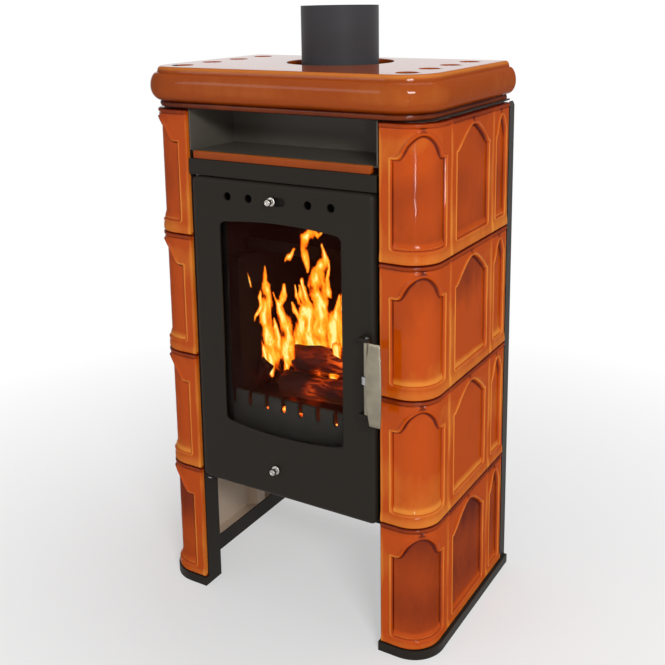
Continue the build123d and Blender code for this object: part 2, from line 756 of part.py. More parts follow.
def shelf_bar():
    """Glazed bar along the niche's front edge."""
    bar = block(
        -bar_half_w, bar_half_w, BAR_FRONT_Y, BAR_FRONT_Y + BAR_D, bar_top_z - BAR_H, bar_top_z)
    front_edges = bar.edges().filter_by(Axis.X).group_by(Axis.Y)[0]
    return fillet(front_edges, BAR_ROUND)


def fascia():
    """Folded strip between door and bar."""
    x1 = cheek_in_x - SEAT_GAP
    top = fascia_top_z
    face = block(-x1, x1, FASCIA_Y, FASCIA_Y + THIN_SHEET, fascia_low_z, top)
    fold = block(-x1, x1, FASCIA_Y, frame_y, top - THIN_SHEET, top)
    return face + fold


def front_frame():
    """Plate behind the door, with the fire mouth, the ash mouth and the latch slot."""
    x1 = cheek_in_x
    plate = rounded_rect(-x1, x1, frame_low_z, frame_top_z, FRAME_CORNER_R)
    plate -= rounded_rect(-mouth_half_w, mouth_half_w, mouth_low_z, mouth_top_z, MOUTH_CORNER_R)
    ash_top = shelf_low_z + ASH_MOUTH_RISE
    plate -= rounded_rect(
        -ash_mouth_half_w, ash_mouth_half_w, ash_floor_z, ash_top, ASH_MOUTH_CORNER_R)
    plate -= rounded_rect(
        slot_in_x, slot_out_x, latch_low_z, latch_high_z, SLOT_CORNER_R)
    frame = upright_plate(plate, frame_y, frame_y + FRAME_T)
    catch = block(
        slot_in_x - CATCH_W, slot_in_x,
        frame_y + FRAME_T, frame_y + 2 * FRAME_T,
        latch_low_z, latch_high_z,
    )
    return frame + catch


# ---- firebox ------------------------------------------------------------------------------------

def firebox_shell():
    """Welded box, open at the front, with the shelf for grate and bricks."""
    shell = block(-box_half_w, box_half_w, box_front_y, box_back_y, box_low_z, box_top_z)
    shell -= block(
        -box_in_x, box_in_x, box_front_y, box_in_back_y, ash_floor_z, shelf_low_z)
    shell -= block(
        -box_in_x, box_in_x, box_front_y, box_in_back_y, shelf_top_z, box_top_z - BOX_WALL)
    shell -= block(
        -shelf_hole_half_w, shelf_hole_half_w, shelf_hole_front_y, shelf_hole_back_y,
        shelf_low_z, shelf_top_z,
    )
    shell -= rod_z(0, flue_y, FLUE_R - FLUE_WALL, box_top_z - BOX_WALL, box_top_z)
    return shell


def flue_collar():
    """Spigot on the firebox roof that the flue pipe slides over."""
    outer = FLUE_R - FLUE_WALL - RUN_GAP
    low = box_top_z
    tube = rod_z(0, flue_y, outer, low - BOX_WALL, low + COLLAR_H)
    flange = rod_z(0, flue_y, FLUE_R + COLLAR_FLANGE_W, low, low + COLLAR_FLANGE_T)
    bore = rod_z(0, flue_y, outer - COLLAR_WALL, low - BOX_WALL, low + COLLAR_H)
    return tube + flange - bore


def flue_pipe():
    """Stub of flue pipe through the slab."""
    low = box_top_z + COLLAR_FLANGE_T + SEAT_GAP
    tube = rod_z(0, flue_y, FLUE_R, low, flue_top_z)
    return tube - rod_z(0, flue_y, FLUE_R - FLUE_WALL, low, flue_top_z)


def wall_bricks():
    """Back brick and the two side bricks."""
    x_in = box_in_x - SEAT_GAP
    back_y0 = box_in_back_y - SEAT_GAP - BRICK_T
    low = bed_z + SEAT_GAP
    back = block(-x_in, x_in, back_y0, back_y0 + BRICK_T, low, wall_brick_top_z)
    left = block(
        -x_in, -x_in + BRICK_T, box_front_y + SIDE_BRICK_SETBACK, back_y0 - SEAT_GAP,
        low, wall_brick_top_z,
    )
    return Compound(children=[back, left, mirrored(left)])


def grate_box(grow, low, high):
    """The grate's place on the shelf, grown by a clearance."""
    lap = GRATE_LAP + grow
    return block(
        -shelf_hole_half_w - lap, shelf_hole_half_w + lap,
        shelf_hole_front_y - lap, shelf_hole_back_y + lap,
        low, high,
    )


def floor_bricks():
    """Floor brick round the grate."""
    x_in = box_in_x - SEAT_GAP
    low = shelf_top_z
    brick = block(
        -x_in, x_in, box_front_y + SEAT_GAP, box_in_back_y - SEAT_GAP, low, bed_z)
    return brick - grate_box(SEAT_GAP, low, bed_z)


def fire_grate():
    """Cast grate with its slots."""
    low = shelf_top_z
    grate = grate_box(0, low, low + GRATE_T)
    slot_y0 = shelf_hole_front_y - GRATE_LAP + GRATE_RIM
    slot_y1 = shelf_hole_back_y + GRATE_LAP - GRATE_RIM
    pitch = 2 * (shelf_hole_half_w + GRATE_LAP - GRATE_RIM) / GRATE_SLOTS
    for number in range(GRATE_SLOTS):
        x = (number - (GRATE_SLOTS - 1) / 2) * pitch
        grate -= block(
            x - GRATE_SLOT_W / 2, x + GRATE_SLOT_W / 2, slot_y0, slot_y1, low, low + GRATE_T)
    return grate


def log_retainer():
    """Cast plate that keeps the logs off the glass, with slots down from its top edge."""
    x_in = box_in_x - SEAT_GAP
    y0 = box_front_y + RETAINER_GAP
    low = bed_z + SEAT_GAP
    plate = Pos(0, (low + retainer_top_z) / 2) * Rectangle(2 * x_in, retainer_top_z - low)
    pitch = 2 * (x_in - RETAINER_END_W) / (RETAINER_SLOTS - 1)
    for number in range(RETAINER_SLOTS):
        x = (number - (RETAINER_SLOTS - 1) / 2) * pitch
        slot = SlotOverall(2 * RETAINER_SLOT_D, RETAINER_SLOT_W)
        plate -= Pos(x, retainer_top_z) * Rot(0, 0, 90) * slot
    return upright_plate(plate, y0, y0 + RETAINER_T)


def ash_pan():
    """Sheet pan under the grate, with a pull lip."""
    low = ash_floor_z + SEAT_GAP
    w = ash_pan_half_w
    y0 = box_front_y + ASH_PAN_SETBACK
    y1 = box_back_y - ASH_PAN_BACK_GAP
    t = ASH_PAN_WALL
    pan = block(-w, w, y0, y1, low, low + ash_pan_h)
    pan -= block(-w + t, w - t, y0 + t, y1 - t, low + t, low + ash_pan_h)
    lip_z = low + ash_pan_h
    lip = block(
        -ASH_PAN_PULL_HALF_W, ASH_PAN_PULL_HALF_W, y0 - ASH_PAN_PULL_D, y0 + t, lip_z - t, lip_z)
    return pan + lip


def baffle_plate():
    """Plate above the fire that turns the smoke to the front."""
    x_in = box_in_x - SEAT_GAP
    low = wall_brick_top_z + SEAT_GAP
    y1 = box_in_back_y - SEAT_GAP
    return block(-x_in, x_in, box_front_y + SMOKE_GAP, y1, low, low + BAFFLE_T)


# ---- door ---------------------------------------------------------------------------------------

def window_sketch():
    """The window: straight sides, bowed top and foot, rounded corners."""
    x = WINDOW_HALF_W
    low = window_low_z
    high = window_high_z
    outline = make_face([
        Line((-x, high), (-x, low)),
        ThreePointArc((-x, low), (0, low - WINDOW_LOW_SAG), (x, low)),
        Line((x, low), (x, high)),
        ThreePointArc((x, high), (0, high + WINDOW_TOP_RISE), (-x, high)),
    ])
    return fillet(outline.vertices(), WINDOW_CORNER_R)


def door_tray(inset):
    """The door's outer form, or its inner form when drawn in by the sheet's thickness."""
    w = door_half_w - inset
    plan = rounded_rect(-w, w, DOOR_LOW_Z + inset, door_top_z - inset, DOOR_CORNER_R - inset)
    solid = upright_plate(plan, inset, DOOR_DEPTH)
    rim = solid.faces().sort_by(Axis.Y)[0].edges()
    return fillet(rim, DOOR_BEND_R - inset)


def slider_slot_sketch():
    """Slot in the door for the slider's stem."""
    left = SLIDER_KNOB_X - SLIDER_STEM_R - SLIDER_SLOT_PLAY
    right = SLIDER_KNOB_X + SLIDER_TRAVEL + SLIDER_STEM_R + SLIDER_SLOT_PLAY
    return Pos((left + right) / 2, hole_z) * SlotOverall(right - left, 2 * HOLE_R)


def air_holes():
    """The four round holes of the upper air inlet."""
    holes = Sketch()
    for x in (-hole_x_out, -hole_x_in, hole_x_in, hole_x_out):
        holes += Pos(x, hole_z) * Circle(HOLE_R)
    return holes


def door_panel():
    """Pressed door sheet with bent edges."""
    panel = door_tray(0) - door_tray(DOOR_SHEET)
    back = DOOR_DEPTH
    panel -= upright_plate(window_sketch(), 0, back)
    panel -= upright_plate(air_holes(), 0, back)
    panel -= upright_plate(slider_slot_sketch(), 0, back)
    panel -= rod_y(VALVE_X, valve_z, VALVE_ROD_R + RUN_GAP, 0, back)
    panel -= rod_z(hinge_x, HINGE_Y, HINGE_PIN_R + RUN_GAP, DOOR_LOW_Z - 1, door_top_z + 1)
    panel -= block(
        notch_in_x, door_half_w + 1, -1, back,
        latch_low_z, latch_high_z,
    )
    return panel


def glass_sketch(shrink):
    """Outline of the glass, drawn in by shrink."""
    w = WINDOW_HALF_W + GLASS_LAP - shrink
    return rounded_rect(-w, w, glass_low_z + shrink, glass_high_z - shrink, WINDOW_CORNER_R)


def glass_gasket():
    """Flat tape between door sheet and glass."""
    ring = glass_sketch(0) - glass_sketch(GLASS_GASKET_W)
    return upright_plate(ring, DOOR_SHEET, DOOR_SHEET + GLASS_GASKET_T)


def door_glass():
    """The pane."""
    y0 = DOOR_SHEET + GLASS_GASKET_T
    return upright_plate(glass_sketch(0), y0, y0 + GLASS_T)


def glass_clips():
    """Four clips that hold the pane against its tape."""
    glass_back = DOOR_SHEET + GLASS_GASKET_T + GLASS_T
    clips = []
    for x in (-CLIP_X, CLIP_X):
        for edge, way in ((glass_low_z, -1), (glass_high_z, 1)):
            x0 = x - CLIP_W / 2
            x1 = x + CLIP_W / 2
            far = edge + way * CLIP_LAP
            near = edge + way * SEAT_GAP
            tongue = block(x0, x1, glass_back, glass_back + CLIP_T, edge - way * CLIP_LAP, near)
            riser = block(x0, x1, DOOR_SHEET, glass_back + CLIP_T, near, near + way * CLIP_T)
            base = block(x0, x1, DOOR_SHEET, DOOR_SHEET + CLIP_T, near, far)
            clips.append(tongue + riser + base)
    return Compound(children=clips)


def channel_ring(out, inn, y0, y1):
    """A rectangular ring between two distances inside the gasket channel's outline."""
    rings = []
    for inset in (out, inn):
        w = channel_half_w - inset
        low = DOOR_LOW_Z + DOOR_BEND_R + SEAT_GAP + inset
        high = door_top_z - DOOR_BEND_R - SEAT_GAP - inset
        rings.append(rounded_rect(-w, w, low, high, DOOR_CORNER_R - inset))
    return upright_plate(rings[0] - rings[1], y0, y1)


def gasket_channel():
    """Folded strip ring that carries the rope gasket."""
    wall = channel_ring(0, CHANNEL_T, DOOR_SHEET, frame_y - CHANNEL_FRAME_GAP)
    shelf = channel_ring(CHANNEL_T, CHANNEL_W, rope_seat_y - CHANNEL_T, rope_seat_y)
    return wall + shelf


def door_gasket():
    """Rope gasket that meets the front frame."""
    rope = channel_ring(CHANNEL_T + SEAT_GAP, CHANNEL_W, rope_seat_y, frame_y - SEAT_GAP)
    back_rim = rope.faces().sort_by(Axis.Y)[-1].edges()
    return fillet(back_rim, ROPE_ROUND)


def hinge_brackets():
    """Brackets on the front frame, above and below the door."""
    brackets = []
    for low in (DOOR_LOW_Z - DOOR_BRACKET_GAP - BRACKET_T, door_top_z + DOOR_BRACKET_GAP):
        plate = block(
            hinge_x - BRACKET_HALF_W, hinge_x + BRACKET_HALF_W,
            HINGE_Y - BRACKET_NOSE, frame_y, low, low + BRACKET_T,
        )
        brackets.append(plate - rod_z(hinge_x, HINGE_Y, HINGE_PIN_R, low, low + BRACKET_T))
    return Compound(children=brackets)


def hinge_pins():
    """Headed pins through the brackets into the door's edges."""
    low_seat = DOOR_LOW_Z - DOOR_BRACKET_GAP - BRACKET_T
    high_seat = door_top_z + DOOR_BRACKET_GAP + BRACKET_T
    low_pin = rod_z(hinge_x, HINGE_Y, HINGE_PIN_R, low_seat, DOOR_LOW_Z + HINGE_PIN_LAP)
    low_pin += rod_z(hinge_x, HINGE_Y, HINGE_HEAD_R, low_seat - HINGE_HEAD_H, low_seat)
    high_pin = rod_z(hinge_x, HINGE_Y, HINGE_PIN_R, door_top_z - HINGE_PIN_LAP, high_seat)
    high_pin += rod_z(hinge_x, HINGE_Y, HINGE_HEAD_R, high_seat, high_seat + HINGE_HEAD_H)
    return Compound(children=[low_pin, high_pin])


# ---- air controls -------------------------------------------------------------------------------

def turned_knob(x, z):
    """A stepped steel knob in front of the door."""
    y = knob_back_y
    flange = rod_y(x, z, KNOB_FLANGE_R, y - KNOB_FLANGE_T, y)
    neck_end = y - KNOB_FLANGE_T - KNOB_NECK_L
    neck = rod_y(x, z, KNOB_NECK_R, neck_end, y - KNOB_FLANGE_T)
    cap = rod_y(x, z, KNOB_CAP_R, neck_end - KNOB_CAP_L, neck_end)
    return flange + neck + cap


def air_slider():
    """Perforated slider behind the upper air holes, with its stem."""
    y0 = DOOR_SHEET + SEAT_GAP
    plan = Pos(0, hole_z) * Rectangle(2 * slider_half_w, SLIDER_H)
    plan -= air_holes()
    plate = upright_plate(plan, y0, y0 + SLIDER_T)
    return plate + rod_y(SLIDER_KNOB_X, hole_z, SLIDER_STEM_R, knob_back_y, y0 + SLIDER_T)


def slider_guides():
    """Straps behind the slider that keep it against the door."""
    half_h = SLIDER_H / 2 + GUIDE_PLAY
    strap_y0 = DOOR_SHEET + SEAT_GAP + SLIDER_T + GUIDE_PLAY
    guides = []
    for x in (-guide_x, guide_x):
        x0 = x - GUIDE_W / 2
        x1 = x + GUIDE_W / 2
        low = hole_z - half_h - GUIDE_LAP
        high = hole_z + half_h + GUIDE_LAP
        strap = block(x0, x1, DOOR_SHEET, strap_y0 + GUIDE_T, low, high)
        strap -= block(x0, x1, DOOR_SHEET, strap_y0, hole_z - half_h, hole_z + half_h)
        guides.append(strap)
    return Compound(children=guides)


def air_valve_rod():
    """Rod of the lower air valve with its disc behind the door sheet."""
    disc_y = DOOR_SHEET + VALVE_TRAVEL + 1
    rod = rod_y(VALVE_X, valve_z, VALVE_ROD_R, knob_back_y, disc_y)
    return rod + rod_y(VALVE_X, valve_z, VALVE_DISC_R, disc_y, disc_y + VALVE_DISC_T)


# ---- handle and latch ---------------------------------------------------------------------------

def handle_lugs():
    """Two lugs on the door sheet that carry the handle's pin."""
    lugs = []
    for low in (lug_low_z, knuckle_top_z + SEAT_GAP):
        lug = block(lug_in_x, pin_x, PIN_Y - KNUCKLE_R, 0, low, low + LUG_T)
        lug += rod_z(pin_x, PIN_Y, KNUCKLE_R, low, low + LUG_T)
        lugs.append(lug - rod_z(pin_x, PIN_Y, PIN_R, low, low + LUG_T))
    return Compound(children=lugs)


def handle_pin():
    """The vertical pin that the handle turns on."""
    top = knuckle_top_z + SEAT_GAP + LUG_T
    return rod_z(pin_x, PIN_Y, PIN_R, lug_low_z, top + PIN_HEAD_L)


def grip_outline():
    """Front view of the grip: a barrel shape."""
    end = GRIP_END_W / 2
    mid = GRIP_MID_W / 2
    x = grip_x
    outline = make_face([
        Line((x - end, grip_low_z), (x + end, grip_low_z)),
        ThreePointArc((x + end, grip_low_z), (x + mid, grip_mid_z), (x + end, grip_top_z)),
        Line((x + end, grip_top_z), (x - end, grip_top_z)),
        ThreePointArc((x - end, grip_top_z), (x - mid, grip_mid_z), (x - end, grip_low_z)),
    ])
    return fillet(outline.vertices(), GRIP_CORNER_R)


def grip_bow():
    """Side view of the grip: a strap bowed towards the front."""
    back = grip_back_y
    front = back - GRIP_T
    side = make_face([
        ThreePointArc((back, grip_low_z), (back - GRIP_BOW, grip_mid_z), (back, grip_top_z)),
        Line((back, grip_top_z), (front, grip_top_z)),
        ThreePointArc((front, grip_top_z), (front - GRIP_BOW, grip_mid_z), (front, grip_low_z)),
        Line((front, grip_low_z), (back, grip_low_z)),
    ])
    start = Plane(origin=(grip_x - GRIP_MID_W, 0, 0), x_dir=(0, 1, 0), z_dir=(1, 0, 0))
    return extrude(start * side, 2 * GRIP_MID_W)


def slanted_bar(x0, y0, x1, y1, width, low, high):
    """A flat bar from one plan point to another."""
    length = math.hypot(x1 - x0, y1 - y0)
    angle = math.degrees(math.atan2(y1 - y0, x1 - x0))
    middle = Pos((x0 + x1) / 2, (y0 + y1) / 2, (low + high) / 2)
    return middle * Rot(0, 0, angle) * Box(length, width, high - low)


def door_handle():
    """Grip, two arms and the knuckle that turns on the pin."""
    grip = upright_plate(grip_outline(), grip_back_y - 3 * GRIP_T, 0) & grip_bow()
    handle = grip + rod_z(pin_x, PIN_Y, KNUCKLE_R, knuckle_low_z, knuckle_top_z)
    reach_y = grip_back_y - GRIP_T / 2
    for low in (grip_low_z + ARM_END_INSET, grip_top_z - ARM_END_INSET - ARM_H):
        handle += slanted_bar(pin_x, PIN_Y, grip_x, reach_y, ARM_T, low, low + ARM_H)
    return handle - rod_z(pin_x, PIN_Y, PIN_R + RUN_GAP, knuckle_low_z, knuckle_top_z)


def latch_hook():
    """Hook on the knuckle that reaches through door and frame to the catch."""
    low = hook_low_z
    high = hook_high_z
    hook = rod_z(pin_x, PIN_Y, HOOK_HUB_R, low, high)
    hook += slanted_bar(pin_x, PIN_Y, hook_tip_x, hook_tip_y, HOOK_W, low, high)
    nose_x1 = hook_tip_x + HOOK_W / 2
    hook += block(
        nose_x1 - HOOK_NOSE_L, nose_x1, hook_tip_y - HOOK_NOSE_T, hook_tip_y, low, high)
    return hook - rod_z(pin_x, PIN_Y, KNUCKLE_R + RUN_GAP, low, high)


# ---- all pieces ---------------------------------------------------------------------------------

def all_parts():
    """Every sub-part under its node's name."""
    parts = {"top_slab": top_slab()}
    corner = corner_tile()
    side = flat_tile(side_tile_y0, side_tile_y1, MOTIF_MARGIN)
    rear = flat_tile(rear_tile_y0, rear_tile_y1, REAR_MOTIF_MARGIN)
    rear_column = []
    for row in range(TILE_ROWS):
        lift = Pos(0, 0, tile_low_z + row * tile_pitch)
        number = row + 1
        parts[f"corner_tile_right_{number}"] = lift * corner
        parts[f"corner_tile_left_{number}"] = lift * mirrored(corner)
        parts[f"side_tile_right_{number}"] = lift * side
        parts[f"side_tile_left_{number}"] = lift * mirrored(side)
        rear_column.append(lift * rear)
    parts["rear_tiles_right"] = Compound(children=rear_column)
    parts["rear_tiles_left"] = Compound(children=[mirrored(tile) for tile in rear_column])
    for name, maker in (("base_tray", base_tray), ("front_cheek", front_cheek), ("rear_post", rear_post)):
        right = maker()
        parts[f"{name}_right"] = right
        parts[f"{name}_left"] = mirrored(right)
    parts["side_rails"] = side_rails()
    parts["top_plate"] = top_plate()
    parts["rear_panel"] = rear_panel()
    parts["panel_screws"] = panel_screws()
    parts["niche_box"] = niche_box()
    parts["shelf_bar"] = shelf_bar()
    parts["fascia"] = fascia()
    parts["front_frame"] = front_frame()
    parts["firebox_shell"] = firebox_shell()
    parts["flue_collar"] = flue_collar()
    parts["flue_pipe"] = flue_pipe()
    parts["wall_bricks"] = wall_bricks()
    parts["floor_bricks"] = floor_bricks()
    parts["fire_grate"] = fire_grate()
    parts["log_retainer"] = log_retainer()
    parts["ash_pan"] = ash_pan()
    parts["baffle_plate"] = baffle_plate()
    parts["hinge_brackets"] = hinge_brackets()
    parts["hinge_pins"] = hinge_pins()
    parts["door_panel"] = door_panel()
    parts["glass_gasket"] = glass_gasket()
    parts["door_glass"] = door_glass()
    parts["glass_clips"] = glass_clips()
    parts["gasket_channel"] = gasket_channel()
    parts["door_gasket"] = door_gasket()
    parts["slider_guides"] = slider_guides()
    parts["air_slider"] = air_slider()
    parts["air_slider_knob"] = turned_knob(SLIDER_KNOB_X, hole_z)
    parts["air_valve_rod"] = air_valve_rod()
    parts["air_valve_knob"] = turned_knob(VALVE_X, valve_z)
    parts["handle_lugs"] = handle_lugs()
    parts["handle_pin"] = handle_pin()
    parts["door_handle"] = door_handle()
    parts["latch_hook"] = latch_hook()
    return parts


os.makedirs("parts", exist_ok=True)
for node, shape in all_parts().items():
    export_step(Pos(0, -centre_y, 0) * shape, f"parts/{node}.step")
print("centre_y", centre_y, "slab top", slab_top_z, "back", screw_y1, "front", grip_front_y)
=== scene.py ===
"""Looks of a tiled wood stove: relief tiles, glazed slab, painted steel, glass door and a burning fire.

Lengths are in metres, +X to the right, +Y from the door to the back, +Z up, origin on the floor.
"""
import math
import random

import bmesh
import bpy
import numpy as np
from bpy.props import (
    FloatProperty,
    FloatVectorProperty,
    IntProperty,
    PointerProperty,
)
from mathutils import Matrix, Vector, noise


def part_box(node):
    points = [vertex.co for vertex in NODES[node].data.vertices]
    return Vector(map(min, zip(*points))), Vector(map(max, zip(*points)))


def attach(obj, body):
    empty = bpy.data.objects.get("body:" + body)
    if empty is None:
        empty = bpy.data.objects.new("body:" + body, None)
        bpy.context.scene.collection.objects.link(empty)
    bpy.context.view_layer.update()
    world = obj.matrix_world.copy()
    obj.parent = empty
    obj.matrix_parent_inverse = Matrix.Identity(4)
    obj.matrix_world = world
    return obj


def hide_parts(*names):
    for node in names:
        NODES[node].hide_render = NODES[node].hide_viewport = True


bl_info = {
    "name": "Tiled Stove",
    "version": (1, 0, 0),
    "blender": (4, 5, 0),
    "location": "3D View > Sidebar > Stove",
    "description": "Dresses a tiled wood stove: tiles, slab, steel, door fittings, fire and stage",
    "category": "Object",
}

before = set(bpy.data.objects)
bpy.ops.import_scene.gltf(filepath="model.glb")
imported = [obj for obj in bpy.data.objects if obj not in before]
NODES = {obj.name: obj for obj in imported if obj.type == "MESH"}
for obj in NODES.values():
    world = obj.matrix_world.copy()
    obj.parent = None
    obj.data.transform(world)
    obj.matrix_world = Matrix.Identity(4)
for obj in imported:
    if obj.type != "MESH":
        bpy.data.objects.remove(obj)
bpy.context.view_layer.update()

MM = 0.001

# Places read from the frame
DOOR_FRONT_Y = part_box("door_panel")[0].y
TILE_LOW, TILE_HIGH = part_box("corner_tile_right_1")
TILE_HEIGHT = TILE_HIGH.z - TILE_LOW.z
TILE_ROWS = 4
SLAB_LOW, SLAB_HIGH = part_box("top_slab")
FLUE_LOW, FLUE_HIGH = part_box("flue_pipe")
FLUE_X = (FLUE_LOW.x + FLUE_HIGH.x) / 2
FLUE_Y = (FLUE_LOW.y + FLUE_HIGH.y) / 2

# Sizes that the frame's boxes don't show
CORNER_RADIUS = 55 * MM
TILE_DEPTH = 37 * MM
TILE_WALL = 14 * MM
GLAZE_WRAP = 10 * MM          # how far the glaze runs round a tile's edge
EDGE_ROUND = 2.6 * MM         # rounding of a tile's upright edges
END_ROUND = 4.5 * MM          # rounding of its top and bottom edges
SLAB_BELLY = 16 * MM
SLAB_CORNER_RADIUS = 70 * MM
SLAB_FLUE_HOLE = 104 * MM
VENT_RADIUS = 17.5 * MM
VENT_X = 236 * MM
VENT_FIRST_Y = DOOR_FRONT_Y + 44 * MM
VENT_PITCH = 88 * MM
VENTS_PER_SIDE = 4


# ---- settings -----------------------------------------------------------------------------------

def colour(name, description, default):
    """A colour setting."""
    return FloatVectorProperty(
        name=name, description=description, default=default, subtype="COLOR", min=0, max=1, size=3)


def length(name, description, default):
    """A length setting in metres."""
    return FloatProperty(name=name, description=description, default=default, unit="LENGTH", precision=4)


class StoveTileSettings(bpy.types.PropertyGroup):
    margin: length("Margin", "Tile edge to the side of the arched panel", 22 * MM)
    rear_margin: length("Rear margin", "The same on the narrow rear tiles", 15 * MM)
    panel_low: length("Panel foot", "Tile's bottom edge to the panel", 23 * MM)
    lowest_panel_low: length("Lowest panel foot", "The same in the bottom row", 17 * MM)
    shoulder_drop: length("Shoulder drop", "Tile's top edge to the arch's shoulders", 62 * MM)
    peak_drop: length("Peak drop", "Tile's top edge to the arch's peak", 21 * MM)
    foot_radius: length("Foot radius", "Rounding of the panel's two lower corners", 7 * MM)
    bead: length("Bead", "Height of the bead round the panel", 1.3 * MM)
    arch_bead: length("Arch bead", "Height of the bead over the arch", 3.2 * MM)
    recess: length("Recess", "Depth of the panel", 4.4 * MM)
    roll: length("Roll", "Height of the roll along the tile's top edge", 2.0 * MM)
    step: length("Grid step", "Spacing of the relief's grid", 1.9 * MM)
    # Where the relief's depths put them, the thin glaze also serves as painted highlight and the pooled glaze
    # as painted shade
    thin: colour("Thin glaze", "Glaze on beads and edges", (0.82, 0.26, 0.030))
    body: colour("Glaze", "Glaze on open faces", (0.57, 0.076, 0.002))
    deep: colour("Deep glaze", "Glaze pooled in grooves", (0.11, 0.008, 0.001))
    clay: colour("Clay", "Bare clay at the back", (0.66, 0.52, 0.40))


class StoveSlabSettings(bpy.types.PropertyGroup):
    hole_edge: length("Hole edge", "Rounding of the holes' rims", 2.5 * MM)
    # Where the profile's depths put them, the slab's pooled glaze also serves as painted shade
    body: colour("Slab glaze", "Glaze on the slab", (0.38, 0.064, 0.003))
    thin: colour("Slab edge", "Glaze on the slab's edges", (0.62, 0.18, 0.025))
    deep: colour("Slab groove", "Glaze in the slab's grooves", (0.06, 0.006, 0.001))


class StoveSteelSettings(bpy.types.PropertyGroup):
    paint: colour("Stove paint", "Dark paint on the door and the carcass", (0.021, 0.0165, 0.0125))
    # Lighter than the stove paint: painted light that lifts the shade inside the niche
    niche: colour("Niche paint", "The same paint inside the niche", (0.12, 0.105, 0.085))
    flue: colour("Flue paint", "Paint on the flue", (0.060, 0.061, 0.066))
    nickel: colour("Nickel", "Handle", (0.30, 0.265, 0.20))
    polished: colour("Polished nickel", "Knobs", (0.50, 0.47, 0.43))
    brick: colour("Firebrick", "Bricks in the firebox", (0.10, 0.022, 0.012))


class StoveFireSettings(bpy.types.PropertyGroup):
    seed: IntProperty(name="Seed", description="Seed of the flames' shapes", default=11, min=0)
    flame_step: length("Flame step", "Spacing of the flames' grid", 2.3 * MM)
    flame_strength: FloatProperty(name="Flame", description="Strength of the flames", default=1.25, min=0)
    ember_strength: FloatProperty(name="Embers", description="Strength of the embers", default=3.4, min=0)


class StoveStageSettings(bpy.types.PropertyGroup):
    camera_place: FloatVectorProperty(
        name="Camera", description="Place of the camera", default=(0.95957, -1.58238, 1.19736),
        subtype="TRANSLATION", size=3)
    camera_yaw: FloatProperty(
        name="Yaw", description="Turn to the left", default=math.radians(30.943), subtype="ANGLE")
    camera_pitch: FloatProperty(
        name="Pitch", description="Tilt down", default=math.radians(11.5085), subtype="ANGLE")
    camera_roll: FloatProperty(
        name="Roll", description="Turn about the line of sight", default=math.radians(-0.8123),
        subtype="ANGLE")
    lens: FloatProperty(
        name="Lens", description="Focal length in millimetres on a 36 mm sensor", default=52.634)
    shift: FloatProperty(name="Shift", description="Vertical shift of the lens", default=-0.2145)
    floor: colour("Floor", "Floor colour", (0.90, 0.90, 0.90))
    ambient: FloatProperty(
        name="Ambient", description="Light that the surroundings shed", default=0.30, min=0)


# ---- meshes and pieces --------------------------------------------------------------------------

MERGE_DISTANCE = 0.01 * MM


def finish_mesh(mesh, sharp_degrees):
    """Merges double points, turns the faces outwards and shades them smoothly up to an angle."""
    work = bmesh.new()
    work.from_mesh(mesh)
    bmesh.ops.remove_doubles(work, verts=work.verts, dist=MERGE_DISTANCE)
    bmesh.ops.recalc_face_normals(work, faces=work.faces)
    work.to_mesh(mesh)
    work.free()
    mesh.shade_smooth()
    mesh.set_sharp_from_angle(angle=math.radians(sharp_degrees))
    return mesh


def add_piece(name, mesh, materials, body, replaced=()):
    """Puts a mesh into the scene as a piece that rides on a body."""
    for material in materials:
        mesh.materials.append(material)
    piece = bpy.data.objects.new(name, mesh)
    bpy.context.scene.collection.objects.link(piece)
    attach(piece, body)
    if replaced:
        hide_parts(*replaced)


def mesh_from(name, points, faces):
    """A mesh from points and faces."""
    mesh = bpy.data.meshes.new(name)
    mesh.from_pydata([tuple(p) for p in points], [], faces)
    return mesh


def mesh_of(name, work):
    """A mesh from a bmesh, which is freed."""
    mesh = bpy.data.meshes.new(name)
    work.to_mesh(mesh)
    work.free()
    return mesh


def write_values(mesh, name, values):
    """Keeps a value at each point of a mesh, for its material to read."""
    mesh.attributes.new(name, "FLOAT", "POINT").data.foreach_set("value", values)


def smoothstep(low, high, value):
    """Rises smoothly from 0 at low to 1 at high."""
    share = np.clip((value - low) / (high - low), 0, 1)
    return share * share * (3 - 2 * share)


def circle(segments):
    """Angles of points spaced evenly round a circle."""
    return [2 * math.pi * k / segments for k in range(segments)]


def tube_faces(rings, segments):
    """Quads between the rings of a tube, counted ring by ring."""
    faces = []
    for first in range(0, (rings - 1) * segments, segments):
        for k in range(segments):
            n = (k + 1) % segments
            faces.append((first + k, first + n, first + segments + n, first + segments + k))
    return faces


def grid_faces(columns, rows):
    """Quads between the points of a grid, counted row by row."""
    firsts = [j * columns + i for j in range(rows - 1) for i in range(columns - 1)]
    return [(k, k + 1, k + columns + 1, k + columns) for k in firsts]


def grid_rim(columns, rows):
    """The points round such a grid's rim, in order."""
    last = (rows - 1) * columns
    rim = list(range(columns)) + [j * columns + columns - 1 for j in range(1, rows)]
    rim += [last + i for i in range(columns - 2, -1, -1)]
    return rim + [j * columns for j in range(rows - 2, 0, -1)]


def lathe(profile, centre, axis, segments):
    """Points and faces of a turned form. The profile is (distance along the axis, radius)."""
    axis = Vector(axis).normalized()
    side = axis.orthogonal().normalized()
    other = axis.cross(side)
    points = []
    for along, radius in profile:
        for turn in circle(segments):
            arm = side * math.cos(turn) + other * math.sin(turn)
            points.append(Vector(centre) + axis * along + arm * radius)
    return points, tube_faces(len(profile), segments)


# ---- shader groups ------------------------------------------------------------------------------

